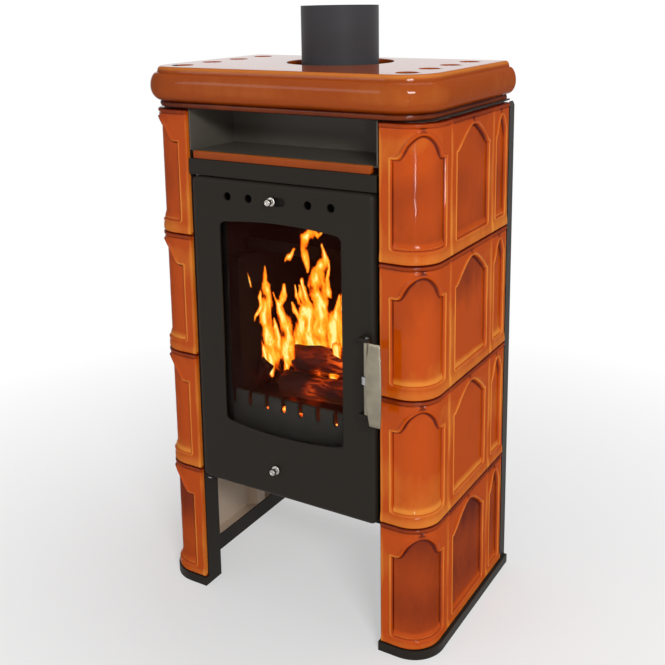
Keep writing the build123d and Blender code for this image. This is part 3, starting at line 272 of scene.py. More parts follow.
class NodeSheet:
    """Short calls for placing and joining nodes in one tree."""

    def __init__(self, tree):
        self.tree = tree

    def add(self, kind, **values):
        """A new node with its settings."""
        node = self.tree.nodes.new(kind)
        for key, value in values.items():
            setattr(node, key, value)
        return node

    def feed(self, socket, value):
        """Sets a socket to a number, a colour or a vector, or joins it to another node's output."""
        if isinstance(value, bpy.types.NodeSocket):
            self.tree.links.new(value, socket)
        elif isinstance(value, (int, float)):
            socket.default_value = value
        else:
            spare = len(socket.default_value) - 3
            socket.default_value = (*tuple(value)[:3], *[1] * spare)

    def fill(self, node, **values):
        """Feeds a node's inputs by name, with _ for a space."""
        for label, value in values.items():
            self.feed(node.inputs[label.replace("_", " ")], value)
        return node

    def group(self, name, **values):
        """Places a shared group with its own values."""
        return self.fill(self.add("ShaderNodeGroup", node_tree=shared(name)), **values)

    def place(self):
        """Coordinates that stay with the piece."""
        return self.add("ShaderNodeTexCoord").outputs["Object"]

    def stretched(self, place, scale):
        """Coordinates scaled along each axis."""
        return self.fill(self.add("ShaderNodeMapping"), Vector=place, Scale=scale).outputs["Vector"]

    def maths(self, operation, first, second, clamp=False):
        """Works out one step on two values."""
        node = self.add("ShaderNodeMath", operation=operation, use_clamp=clamp)
        self.feed(node.inputs[0], first)
        self.feed(node.inputs[1], second)
        return node.outputs[0]

    def vector_maths(self, operation, *values):
        """The node that works out one step on vectors."""
        node = self.add("ShaderNodeVectorMath", operation=operation)
        for socket, value in zip(node.inputs, values):
            self.feed(socket, value)
        return node

    def mix(self, factor, first, second, blend="MIX"):
        """A mix of two colours."""
        node = self.add("ShaderNodeMix", data_type="RGBA", blend_type=blend)
        for number, value in ((0, factor), (6, first), (7, second)):
            self.feed(node.inputs[number], value)
        return node.outputs[2]

    def noise(self, vector, scale, detail, roughness, distortion=0.0):
        """Cloudy noise between 0 and 1."""
        node = self.add("ShaderNodeTexNoise")
        self.fill(node, Vector=vector, Scale=scale, Detail=detail, Roughness=roughness, Distortion=distortion)
        return node.outputs["Fac"]

    def ramp(self, factor, stops):
        """A colour ramp from (place, colour or grey level) stops."""
        node = self.add("ShaderNodeValToRGB")
        ramp = node.color_ramp
        while len(ramp.elements) < len(stops):
            ramp.elements.new(0.5)
        for element, (place, value) in zip(ramp.elements, stops):
            element.position = place
            if isinstance(value, (int, float)):
                value = (value, value, value)
            element.color = (*value[:3], 1)
        self.feed(node.inputs[0], factor)
        return node.outputs[0]

    def span(self, value, low, high, out_low, out_high):
        """Takes low to out_low and high to out_high, and clamps beyond them."""
        node = self.add("ShaderNodeMapRange")
        self.fill(node, Value=value, From_Min=low, From_Max=high, To_Min=out_low, To_Max=out_high)
        return node.outputs[0]

    def swing(self, value, amount):
        """A value's distance from 0.5, times an amount."""
        return self.maths("MULTIPLY", self.maths("SUBTRACT", value, 0.5), amount)

    def bump(self, surface, height, strength, distance):
        """Feeds a height into a surface's normal."""
        bump = self.fill(self.add("ShaderNodeBump"), Strength=strength, Distance=distance, Height=height)
        self.feed(surface.inputs["Normal"], bump.outputs["Normal"])


SOCKETS = {"value": "NodeSocketFloat", "colour": "NodeSocketColor", "vector": "NodeSocketVector"}


def new_group(name, inputs, outputs):
    """An empty shader group. Each input has its kind or, for a value, its default."""
    tree = bpy.data.node_groups.new(name, "ShaderNodeTree")
    for label, kind in inputs.items():
        socket_type = SOCKETS.get(kind, SOCKETS["value"])
        socket = tree.interface.new_socket(name=label, in_out="INPUT", socket_type=socket_type)
        if kind not in SOCKETS:
            socket.default_value = kind
    for label, kind in outputs.items():
        tree.interface.new_socket(name=label, in_out="OUTPUT", socket_type=SOCKETS[kind])
    sheet = NodeSheet(tree)
    return tree, sheet, sheet.add("NodeGroupInput"), sheet.add("NodeGroupOutput")


def glaze_group():
    """Running glaze: thin and light on edges, pooled and dark in hollows, cloudy between; the depth that it
    is given also carries painted highlights and painted shade.
    """
    tree, sheet, given, out = new_group(
        "Running glaze",
        {"Depth": 0.5, "Cloud scale": 9.0, "Thin": "colour", "Body": "colour", "Deep": "colour"},
        {"Color": "colour", "Roughness": "value", "Height": "value"})
    place = sheet.place()
    run = sheet.stretched(place, (1, 1, 0.45))
    cloud = sheet.noise(run, given.outputs["Cloud scale"], 3.0, 0.55, 0.6)
    fine = sheet.noise(run, 70.0, 2.0, 0.5)
    drift = sheet.swing(cloud, 0.30)
    speck = sheet.swing(fine, 0.10)
    depth = sheet.maths("ADD", sheet.maths("ADD", given.outputs["Depth"], drift), speck, clamp=True)
    thin_share = sheet.span(depth, 0.12, 0.42, 0, 1)
    deep_share = sheet.span(depth, 0.55, 1.0, 0, 1)
    light = sheet.mix(thin_share, given.outputs["Thin"], given.outputs["Body"])
    wave = sheet.noise(place, 26.0, 1.0, 0.4)
    peel = sheet.noise(place, 160.0, 1.0, 0.4)
    sheet.fill(
        out, Color=sheet.mix(deep_share, light, given.outputs["Deep"]),
        Roughness=sheet.span(fine, 0.3, 0.7, 0.05, 0.11),
        Height=sheet.maths("ADD", wave, sheet.maths("MULTIPLY", peel, 0.12)))
    return tree


def grain_group():
    """Fine grain with slow cloudiness, for paint, castings, brick and clay."""
    tree, sheet, given, out = new_group(
        "Fine grain",
        {"Base": "colour", "Grain scale": 900.0, "Cloud scale": 8.0, "Cloud amount": 0.25,
         "Smooth": 0.35, "Rough": 0.5},
        {"Color": "colour", "Roughness": "value", "Height": "value"})
    place = sheet.place()
    grain = sheet.noise(place, given.outputs["Grain scale"], 2.0, 0.6)
    cloud = sheet.noise(place, given.outputs["Cloud scale"], 4.0, 0.6)
    swing = sheet.swing(cloud, given.outputs["Cloud amount"])
    level = sheet.maths("ADD", 1.0, sheet.maths("MULTIPLY", swing, 2.0))
    tint = sheet.fill(sheet.add("ShaderNodeCombineColor"), Red=level, Green=level, Blue=level)
    spread = sheet.maths("SUBTRACT", given.outputs["Rough"], given.outputs["Smooth"])
    share = sheet.maths("ADD", sheet.maths("MULTIPLY", grain, 0.5), sheet.maths("MULTIPLY", cloud, 0.5))
    sheet.fill(
        out, Color=sheet.mix(1.0, given.outputs["Base"], tint.outputs[0], "MULTIPLY"),
        Roughness=sheet.maths("ADD", given.outputs["Smooth"], sheet.maths("MULTIPLY", share, spread)),
        Height=grain)
    return tree


def soot_group():
    """Soot that lies thicker towards a height and in patches."""
    tree, sheet, given, out = new_group(
        "Soot", {"Base": "colour", "Soot": "colour", "Amount": 0.5}, {"Color": "colour", "Mask": "value"})
    place = sheet.place()
    patch = sheet.noise(place, 14.0, 5.0, 0.62, 0.4)
    parts = sheet.fill(sheet.add("ShaderNodeSeparateXYZ"), Vector=place)
    rise = sheet.span(parts.outputs["Z"], 0.34, 0.74, -0.15, 0.3)
    extra = sheet.maths("SUBTRACT", given.outputs["Amount"], 0.5)
    mask = sheet.maths("ADD", sheet.maths("ADD", patch, rise), extra)
    mask = sheet.span(mask, 0.35, 0.68, 0, 1)
    sheet.fill(out, Color=sheet.mix(mask, given.outputs["Base"], given.outputs["Soot"]), Mask=mask)
    return tree


def glow_group():
    """Glowing cracks between charred scales."""
    tree, sheet, given, out = new_group(
        "Ember glow", {"Scale": 45.0, "Spread": 0.5, "Stretch": "vector", "Char": "colour"},
        {"Glow": "colour", "Char": "colour", "Height": "value"})
    place = sheet.place()
    drawn = sheet.vector_maths("MULTIPLY", place, given.outputs["Stretch"]).outputs[0]
    warp = sheet.noise(drawn, 30.0, 3.0, 0.6)
    bend = sheet.fill(sheet.add("ShaderNodeCombineXYZ"), X=warp, Y=warp, Z=warp)
    shift = sheet.fill(sheet.vector_maths("SCALE", bend.outputs[0]), Scale=0.02)
    moved = sheet.vector_maths("ADD", drawn, shift.outputs[0]).outputs[0]
    cells = sheet.add("ShaderNodeTexVoronoi", feature="DISTANCE_TO_EDGE")
    sheet.fill(cells, Vector=moved, Scale=given.outputs["Scale"])
    crack = sheet.span(cells.outputs["Distance"], 0.0, 0.16, 1, 0)
    zone = sheet.noise(place, 11.0, 2.0, 0.5)
    hot = sheet.maths("ADD", zone, sheet.maths("SUBTRACT", given.outputs["Spread"], 0.5))
    hot = sheet.span(hot, 0.42, 0.7, 0, 1)
    heat = sheet.maths("MULTIPLY", sheet.maths("ADD", crack, 0.25, clamp=True), hot)
    glow = sheet.ramp(heat, [
        (0.0, (0.004, 0, 0)), (0.25, (0.16, 0.008, 0.0)), (0.6, (0.9, 0.11, 0.005)),
        (1.0, (1.0, 0.42, 0.06))])
    tone = sheet.ramp(warp, [(0.3, 0.12), (0.75, 1.0)])
    sheet.fill(
        out, Glow=glow, Char=sheet.mix(1.0, given.outputs["Char"], tone, "MULTIPLY"),
        Height=cells.outputs["Distance"])
    return tree


GROUPS = {}


def shared(name):
    """The shader group of that name, built at its first use."""
    makers = {"glaze": glaze_group, "grain": grain_group, "soot": soot_group, "glow": glow_group}
    if name not in GROUPS:
        GROUPS[name] = makers[name]()
    return GROUPS[name]


def new_material(name):
    """A material, the sheet of its nodes and its Principled surface."""
    material = bpy.data.materials.new(name)
    material.use_nodes = True
    return material, NodeSheet(material.node_tree), material.node_tree.nodes["Principled BSDF"]


def glaze_material(name, settings, cloud_scale):
    """Glossy glaze over relief, driven by the mesh's glaze_depth attribute."""
    material, sheet, surface = new_material(name)
    depth = sheet.add("ShaderNodeAttribute", attribute_name="glaze_depth").outputs["Fac"]
    glaze = sheet.group(
        "glaze", Depth=depth, Cloud_scale=cloud_scale, Thin=settings.thin, Body=settings.body,
        Deep=settings.deep)
    slant = sheet.add("ShaderNodeLayerWeight").outputs["Facing"]
    face_on = sheet.span(slant, 0.22, 0.58, 0.32, 0.10)
    edge_on = sheet.span(slant, 0.80, 0.90, 0.0, 0.85)
    sheet.fill(
        surface, Base_Color=glaze.outputs["Color"], Roughness=glaze.outputs["Roughness"],
        Specular_IOR_Level=0.0, Coat_Weight=sheet.maths("ADD", face_on, edge_on), Coat_Roughness=0.06)
    sheet.bump(surface, glaze.outputs["Height"], 0.45, 1.0 * MM)
    return material


def grain_material(name, base, smooth, rough, grain_scale, cloud_scale, cloud_amount,
                   bump, bump_distance=0.4 * MM, metallic=0.0, gloss=0.5):
    """Paint, casting, clay or bare metal with a fine grain."""
    material, sheet, surface = new_material(name)
    grain = sheet.group(
        "grain", Base=base, Grain_scale=grain_scale, Cloud_scale=cloud_scale,
        Cloud_amount=cloud_amount, Smooth=smooth, Rough=rough)
    sheet.fill(
        surface, Base_Color=grain.outputs["Color"], Roughness=grain.outputs["Roughness"],
        Metallic=metallic, Specular_IOR_Level=gloss)
    sheet.bump(surface, grain.outputs["Height"], bump, bump_distance)
    return material


def sooted_material(name, base, amount, rough, grain_scale, bump):
    """A grainy surface under soot, with a faint painted red glow."""
    material, sheet, surface = new_material(name)
    grain = sheet.group(
        "grain", Base=base, Grain_scale=grain_scale, Cloud_scale=12.0, Cloud_amount=0.3,
        Smooth=rough - 0.1, Rough=rough)
    soot = sheet.group("soot", Base=grain.outputs["Color"], Soot=(0.004, 0.0015, 0.0012), Amount=amount)
    # The faint red emission over brick and steel is a painted glow
    sheet.fill(
        surface, Base_Color=soot.outputs["Color"], Roughness=grain.outputs["Roughness"],
        Specular_IOR_Level=0.1, Emission_Color=(1.0, 0.07, 0.03), Emission_Strength=0.006)
    sheet.bump(surface, grain.outputs["Height"], bump, 0.8 * MM)
    return material


def brushed_material(name, base, direction, rough):
    """Brushed metal with fine lines along a direction."""
    material, sheet, surface = new_material(name)
    place = sheet.place()
    lines = sheet.noise(sheet.stretched(place, direction), 1.0, 2.0, 0.6)
    cloud = sheet.noise(place, 40.0, 3.0, 0.5)
    dull = tuple(0.82 * c for c in base)
    bright = tuple(min(1, 1.1 * c) for c in base)
    sheet.fill(
        surface, Base_Color=sheet.ramp(cloud, [(0.3, dull), (0.7, bright)]),
        Roughness=sheet.span(lines, 0.3, 0.7, rough - 0.06, rough + 0.08), Metallic=1.0)
    sheet.bump(surface, lines, 0.12, 0.2 * MM)
    return material


def glass_material():
    """The pane: clear, with a faint haze of fly ash."""
    material, sheet, surface = new_material("fire glass")
    haze = sheet.noise(sheet.place(), 18.0, 4.0, 0.6)
    sheet.fill(
        surface, Roughness=sheet.span(haze, 0.4, 0.8, 0.0, 0.05), Base_Color=(0.97, 0.97, 0.95),
        Transmission_Weight=1.0, IOR=1.06)
    return material


def rope_material():
    """Woven glass-fibre rope."""
    material, sheet, surface = new_material("glass rope")
    weave = sheet.add("ShaderNodeTexWave", wave_type="BANDS", bands_direction="DIAGONAL")
    strands = sheet.fill(weave, Vector=sheet.place(), Scale=260.0, Distortion=2.0).outputs["Fac"]
    tone = sheet.ramp(strands, [(0.0, (0.05, 0.047, 0.042)), (1.0, (0.22, 0.21, 0.19))])
    sheet.fill(surface, Base_Color=tone, Roughness=0.9)
    sheet.bump(surface, strands, 0.5, 0.6 * MM)
    return material


def ember_material(name, scale, spread, strength, char, stretch=(1, 1, 1)):
    """Charred surface with glowing cracks."""
    material, sheet, surface = new_material(name)
    glow = sheet.group("glow", Scale=scale, Spread=spread, Stretch=stretch, Char=char)
    sheet.fill(
        surface, Base_Color=glow.outputs["Char"], Emission_Color=glow.outputs["Glow"],
        Emission_Strength=strength, Roughness=0.85, Specular_IOR_Level=0.15)
    sheet.bump(surface, glow.outputs["Height"], 0.6, 3 * MM)
    return material


def flame_material(strength):
    """Flame coloured by the mesh's flame_heat attribute, clear at its fringe."""
    material, sheet, surface = new_material("flame")
    heat = sheet.add("ShaderNodeAttribute", attribute_name="flame_heat").outputs["Fac"]
    lick = sheet.noise(sheet.stretched(sheet.place(), (1, 1, 0.42)), 120.0, 4.0, 0.62, 1.6)
    warm = sheet.maths("ADD", heat, sheet.swing(lick, 0.95), clamp=True)
    tone = sheet.ramp(warm, [
        (0.0, (0.30, 0.012, 0.0)), (0.22, (0.70, 0.07, 0.002)), (0.42, (0.95, 0.22, 0.006)),
        (0.70, (1.0, 0.38, 0.018)), (0.88, (1.0, 0.54, 0.06)), (1.0, (1.0, 0.76, 0.26))])
    sheet.fill(
        surface, Base_Color=(0.0, 0.0, 0.0), Emission_Color=tone, Emission_Strength=strength,
        Alpha=sheet.span(warm, 0.05, 0.22, 0.0, 1.0), Specular_IOR_Level=0.0)
    return material


# ---- tiles --------------------------------------------------------------------------------------

def grid_lines(size, step, fine_zones, fine_step):
    """Places of grid lines from 0 to size, closer together in the fine zones."""
    lines = [0.0]
    least_rest = 0.3 * fine_step
    while lines[-1] < size - least_rest:
        here = lines[-1]
        fine = any(low <= here < high for low, high in fine_zones)
        lines.append(here + (fine_step if fine else step))
    lines[-1] = size
    return np.array(lines)


def ogee_arch(share):
    """Rise of the corner tiles' arch: a hollow foot and a broad round crown."""
    if share <= 0:
        return 0.0
    foot_run, slimness = 0.24, 1.35
    foot = min(1.0, min(share, 1 - share) / foot_run)
    return math.sin(math.pi * share) ** slimness * foot * foot * (3 - 2 * foot)


def gable_arch(share):
    """Rise of the side tiles' arch: nearly straight flanks and a rounded crown."""
    slope = abs(2 * share - 1)
    blunt = 0.42
    return 1 - (math.hypot(slope, blunt) - blunt) / (math.hypot(1, blunt) - blunt)


def round_arch(share):
    """Rise of the rear tiles' narrow arch."""
    return math.sin(math.pi * share)


# For each kind of tile: the arch and the level stretch at each of its shoulders
ARCHES = {
    "corner": (ogee_arch, 7 * MM),
    "side": (gable_arch, 4 * MM),
    "rear": (round_arch, 1.5 * MM),
}

# Painted light and shade of the panel at its arch and at its foot, from the bottom row to the top row
PANEL_PAINTED_SHADES = ((0.36, 0.10), (0.12, -0.14), (0.24, -0.12), (-0.04, 0.24))


def motif_outline(settings, kind, width, margin, low):
    """Outline of the arched panel on the tile's face, as points."""
    left = margin
    right = width - margin
    shoulder = TILE_HEIGHT - settings.shoulder_drop
    peak = TILE_HEIGHT - settings.peak_drop
    arch, run = ARCHES[kind]
    radius = settings.foot_radius
    points = []
    corner_steps = 8
    for centre_u, start in ((left + radius, math.pi), (right - radius, 1.5 * math.pi)):
        for k in range(corner_steps + 1):
            turn = start + k * math.pi / (2 * corner_steps)
            points.append((centre_u + radius * math.cos(turn), low + radius + radius * math.sin(turn)))
    points.append((right, shoulder))
    span = right - left - 2 * run
    arch_steps = 48
    for k in range(arch_steps + 1):
        share = k / arch_steps
        points.append((right - run - span * share, shoulder + (peak - shoulder) * arch(share)))
    points.append((left, shoulder))
    return np.array(points)


def signed_distance(u, v, outline):
    """Distance to a closed outline, negative inside."""
    best = np.full(u.shape, np.inf)
    inside = np.zeros(u.shape, bool)
    no_length = 1e-18         # keeps points that lie on each other from dividing by 0
    for (u0, v0), (u1, v1) in zip(outline, np.roll(outline, -1, axis=0)):
        du = u1 - u0
        dv = v1 - v0
        share = np.clip(((u - u0) * du + (v - v0) * dv) / (du * du + dv * dv + no_length), 0, 1)
        best = np.minimum(best, np.hypot(u - u0 - share * du, v - v0 - share * dv))
        if dv != 0:
            inside ^= ((v0 > v) != (v1 > v)) & (u < du * (v - v0) / dv + u0)
    return np.where(inside, -best, best)


def hump(distance, centre, width):
    """A smooth hump of height 1."""
    return np.exp(-((distance - centre) / width) ** 2)


def panel_low(settings, row):
    """Height of the panel's foot over the tile's bottom edge."""
    return settings.lowest_panel_low if row == 1 else settings.panel_low


def rounded_off(distance, radius):
    """How far a rounded edge lies below the face at a distance from the edge."""
    return radius - np.sqrt(radius ** 2 - np.clip(radius - distance, 0, radius) ** 2)


POOL_WAVES = (14, 23, 34, 52)             # radians per metre
WOBBLE_WAVES = (34, 25, 19, 14, 11, 9)    # lengths in mm
WOBBLE_HEIGHT = 0.0016 * MM               # for each millimetre of a wave's length


def pooling(u, v, seed):
    """Slow swing of the glaze's depth over one tile, mostly between -1 and 1."""
    rng = random.Random(seed)
    swing = np.zeros(u.shape)
    for wave in POOL_WAVES:
        turn = rng.uniform(0.35, 0.65) * math.pi
        phase = rng.uniform(0, 2 * math.pi)
        swing += np.cos(wave * (u * math.cos(turn) + v * math.sin(turn)) + phase)
    return swing / 3


def wobble(u, v, seed):
    """Slight waviness of a fired glaze."""
    rng = random.Random(seed + 7)
    wave = np.zeros(u.shape)
    for length_of_wave in WOBBLE_WAVES:
        turn = rng.uniform(0, math.pi)
        phase = rng.uniform(0, 2 * math.pi)
        pace = 2 * math.pi / (length_of_wave * MM)
        bend = 2.0 * np.cos(40 * (u - 0.7 * v) + phase)
        wave += length_of_wave * np.cos(pace * (u * math.cos(turn) + v * math.sin(turn)) + phase + bend)
    return WOBBLE_HEIGHT * wave


def keystone(u, v, width, peak):
    """Share of the drop over the arch's peak: wide at its head, waisted, and wide again at its foot."""
    waist = peak + 9 * MM
    half = 2.6 * MM + 3.6 * MM * smoothstep(waist, TILE_HEIGHT - 9 * MM, v)
    half = half + 5.0 * MM * smoothstep(waist, peak + 4 * MM, v)
    drop = smoothstep(half + 1.6 * MM, half - 1.0 * MM, np.abs(u - width / 2))
    drop = drop * smoothstep(peak + 3.5 * MM, peak + 6 * MM, v)
    return drop * smoothstep(TILE_HEIGHT - 7 * MM, TILE_HEIGHT - 10 * MM, v)


# Painted light and shade in the glaze's depth on each kind of tile: how much painted shade its panel adds,
# how far the bead's thin glaze and painted highlight shine through, and how much of that its arch takes back
GLAZE_AND_PAINTED_LIGHT = {"corner": (0, 0.42, 1.15), "side": (0.07, 0.56, 0.5), "rear": (0, 0.56, 0.5)}
# Painted shade over the whole bottom row
LOWEST_ROW_PAINTED_SHADE = 0.06


def tile_relief(settings, kind, u, v, width, margin, row, seed):
    """Height of the face above its plane, and the glaze's depth with its painted light and shade, at points
    of a tile.
    """
    low = panel_low(settings, row)
    away = signed_distance(u, v, motif_outline(settings, kind, width, margin, low))
    shoulder = TILE_HEIGHT - settings.shoulder_drop
    peak = TILE_HEIGHT - settings.peak_drop
    side = np.minimum(u, width - u)
    from_head = TILE_HEIGHT - v

    # The forms, each as a share between 0 and 1
    arch = smoothstep(shoulder - 6 * MM, shoulder + 16 * MM, v)
    crown = smoothstep(shoulder + 6 * MM, peak, v)
    bead = hump(away, (1.9 + 1.7 * arch) * MM, (1.35 + 0.8 * arch + 0.7 * crown) * MM)
    inside = smoothstep(1.0 * MM, -2.6 * MM, away)
    groove = hump(away, (-2.5 + 0.6 * arch) * MM, (1.0 + 0.9 * arch) * MM)
    foot = inside * smoothstep(17 * MM, 3 * MM, v - low)
    sill = smoothstep(low + 5 * MM, low - 2 * MM, v)
    key = keystone(u, v, width, peak)
    roll = smoothstep(9.0 * MM, 6 * MM, from_head)
    crease = hump(from_head, 9.3 * MM, 1.2 * MM)
    flare = smoothstep(low + 4 * MM, 7 * MM, v)

    bead_height = settings.bead + (settings.arch_bead - settings.bead) * arch
    relief = bead_height * bead - settings.recess * inside - 0.7 * MM * groove
    relief = relief + 0.72 * settings.recess * foot - 1.2 * MM * key
    relief = relief + settings.roll * roll - 0.8 * MM * crease + 1.8 * MM * flare
    relief = relief - rounded_off(side, EDGE_ROUND) - rounded_off(v, END_ROUND)
    relief = relief - rounded_off(from_head, END_ROUND) + wobble(u, v, seed)

    panel_painted_shade, bead_thin_glaze_and_glint, arch_dulls = GLAZE_AND_PAINTED_LIGHT[kind]
    top_painted_shade, foot_painted_shade = PANEL_PAINTED_SHADES[row - 1]
    rise = np.clip((v - low) / (peak - low), 0, 1)
    depth = 0.43 + 0.10 * pooling(u, v, seed)
    # Painted light and shade on the panel: a gradient from its foot to its arch in each row, more painted
    # shade on the side tiles' panels and over the whole bottom row
    depth = depth + inside * (0.05 + foot_painted_shade + (top_painted_shade - foot_painted_shade) * rise)
    depth = depth + inside * panel_painted_shade + (LOWEST_ROW_PAINTED_SHADE if row == 1 else 0)
    # The bead's thin glaze with a painted highlight, dulled on the arch and at the sill; glaze pooled in the
    # groove with painted shade, most under the arch and at the sill
    depth = depth - bead_thin_glaze_and_glint * bead * (1 - arch_dulls * arch) * (1 - 0.9 * sill)
    depth = depth + 0.45 * groove * (1 + 1.1 * arch + 0.9 * sill)
    # Painted highlight on the panel's foot; glaze pooled in the keystone drop; painted shade on the roll and
    # in the crease under each row joint, with glaze pooled in the crease
    depth = depth - 0.34 * foot + 0.34 * key + 0.20 * roll + 0.32 * crease
    # Painted highlight on the flare at the tile's foot; thin glaze on the upright edges
    depth = depth - 0.14 * flare * (1 - inside) - 0.16 * smoothstep(8 * MM, 2.5 * MM, side) * (1 - roll)
    # Painted shade on the margin towards the tile's top edge
    depth = depth + 0.14 * smoothstep(peak - 14 * MM, TILE_HEIGHT, v) * (1 - inside)
    depth = depth + 0.6 * smoothstep(2.4 * MM, 0.2 * MM, np.minimum(v, from_head))
    return relief, np.clip(depth, 0, 1)


def corner_path(u):
    """Plan of the right-hand corner tile's face at a distance along it, with its outward direction."""
    front_y = TILE_LOW.y
    outer_x = TILE_HIGH.x
    centre_x = outer_x - CORNER_RADIUS
    centre_y = front_y + CORNER_RADIUS
    front_run = centre_x - TILE_LOW.x
    bend = CORNER_RADIUS * math.pi / 2
    turn = np.clip((u - front_run) / CORNER_RADIUS, 0, math.pi / 2)
    x = centre_x + CORNER_RADIUS * np.sin(turn) + np.minimum(u - front_run, 0)
    y = centre_y - CORNER_RADIUS * np.cos(turn) + np.maximum(u - front_run - bend, 0)
    return x, y, np.sin(turn), -np.cos(turn)


def corner_width():
    """Length along the corner tile's face."""
    front_run = TILE_HIGH.x - CORNER_RADIUS - TILE_LOW.x
    side_run = TILE_HIGH.y - TILE_LOW.y - CORNER_RADIUS
    return front_run + CORNER_RADIUS * math.pi / 2 + side_run


def flat_path(start_y):
    """Plan of a flat side tile that starts at start_y."""
    def path(u):
        still = np.ones_like(u)
        return TILE_HIGH.x * still, start_y + u, still, 0 * still
    return path


def tile_points(path, u, v, out, side):
    """Points in space of places on a tile's face, moved outwards."""
    x, y, out_x, out_y = path(u)
    return np.stack([side * (x + out_x * out), y + out_y * out, v], axis=-1)


# Depth of the glaze on a tile's edges: at its head and foot, and at its sides
RIM_SHADES = (0.95, 0.22)
RIM_END = 4 * MM

# The tile behind its face: inset from its rim, depth behind the face, and share of the way to the middle
TILE_BACK = (
    (0, GLAZE_WRAP, 0), (0, TILE_DEPTH, 0), (TILE_WALL, TILE_DEPTH, 0), (TILE_WALL, TILE_WALL, 0),
    (TILE_WALL, TILE_WALL, 0.35), (TILE_WALL, TILE_WALL, 0.7), (TILE_WALL, TILE_WALL, 1.0),
)


def relief_tile(settings, kind, path, width, margin, side, row, seed):
    """Points, faces, glaze depths with their painted light and shade, and face materials of one tile standing
    at height 0.
    """
    height = TILE_HEIGHT
    edge = 5 * MM
    near = 6 * MM
    bands = [(0, edge), (margin - near, margin + near), (width - margin - near, width - margin + near),
             (width - edge, width)]
    across = grid_lines(width, settings.step, bands, 1.0 * MM)
    low = panel_low(settings, row)
    bands = [(0, edge), (low - near, low + 8 * MM), (height - settings.shoulder_drop - 8 * MM, height)]
    up = grid_lines(height, 1.7 * settings.step, bands, 1.15 * MM)
    u, v = np.meshgrid(across, up)
    relief, depth = tile_relief(settings, kind, u, v, width, margin, row, seed)
    points = [tile_points(path, u, v, relief, side).reshape(-1, 3)]
    depths = [depth.ravel()]
    faces = grid_faces(len(across), len(up))
    previous = grid_rim(len(across), len(up))
    rim_u = u.ravel()[previous]
    rim_v = v.ravel()[previous]
    rim_shade = np.where(np.minimum(rim_v, height - rim_v) < RIM_END, *RIM_SHADES)
    count = len(previous)
    total = u.size
    glazed = len(faces) + count
    for inset, inward, share in TILE_BACK:
        ring_u = np.clip(rim_u, inset, width - inset)
        ring_v = np.clip(rim_v, inset, height - inset)
        ring_u = ring_u + share * (width / 2 - ring_u)
        ring_v = ring_v + share * (np.clip(ring_v, 0.4 * height, 0.6 * height) - ring_v)
        points.append(tile_points(path, ring_u, ring_v, np.full(count, -inward), side))
        depths.append(rim_shade)
        here = list(range(total, total + count))
        total += count
        for k in range(count):
            n = (k + 1) % count
            faces.append((previous[k], here[k], here[n], previous[n]))
        previous = here
    kinds = [0] * glazed + [1] * (len(faces) - glazed)
    return np.concatenate(points), faces, np.concatenate(depths), kinds


def tile_mesh(name, parts):
    """One mesh from tile parts, each with the height it stands at."""
    points = []
    faces = []
    depths = []
    kinds = []
    offset = 0
    for (part_points, part_faces, part_depths, part_kinds), low in parts:
        points.append(part_points + np.array([0, 0, low]))
        faces += [tuple(offset + k for k in face) for face in part_faces]
        depths.append(part_depths)
        kinds += part_kinds
        offset += len(part_points)
    mesh = mesh_from(name, np.concatenate(points), faces)
    write_values(mesh, "glaze_depth", np.concatenate(depths).astype(np.float32))
    mesh.polygons.foreach_set("material_index", kinds)
    return finish_mesh(mesh, sharp_degrees=48)


class STOVE_OT_tiles(bpy.types.Operator):
    """Builds the relief tiles of both sides"""
    bl_idname = "stove.tiles"
    bl_label = "Tiles"

    def execute(self, context):
        settings = context.scene.stove_tiles
        glaze = glaze_material("tile glaze", settings, cloud_scale=9.0)
        clay = grain_material(
            "bare clay", settings.clay, smooth=0.75, rough=0.9, grain_scale=300.0, cloud_scale=12.0,
            cloud_amount=0.15, bump=0.3)
        side_low, side_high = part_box("side_tile_right_1")
        rear_low, rear_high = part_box("rear_tiles_right")
        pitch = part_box("side_tile_right_2")[0].z - side_low.z
        forms = (
            ("corner", corner_path, corner_width(), settings.margin),
            ("side", flat_path(side_low.y), side_high.y - side_low.y, settings.margin),
            ("rear", flat_path(rear_low.y), rear_high.y - rear_low.y, settings.rear_margin),
        )
        for side_name, side in (("right", 1), ("left", -1)):
            column = []
            for row in range(1, TILE_ROWS + 1):
                for number, (kind, path, width, margin) in enumerate(forms):
                    seed = 100 * row + 10 * number + side
                    form = relief_tile(settings, kind, path, width, margin, side, row, seed)
                    if kind == "rear":
                        column.append((form, rear_low.z + (row - 1) * pitch))
                        continue
                    node = f"{kind}_tile_{side_name}_{row}"
                    name = f"{kind}_relief_{side_name}_{row}"
                    self.add(name, [(form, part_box(node)[0].z)], glaze, clay, node)
            self.add(f"rear_relief_{side_name}", column, glaze, clay, f"rear_tiles_{side_name}")
        return {"FINISHED"}

    def add(self, name, parts, glaze, clay, node):
        """Adds one piece of tiles in place of its CAD node."""
        add_piece(name, tile_mesh(name, parts), (glaze, clay), "stove", (node,))


# ---- slab ---------------------------------------------------------------------------------------

HOLE_SEGMENTS = 48
OPEN_GLAZE = 0.5              # depth of the glaze on the slab's open faces


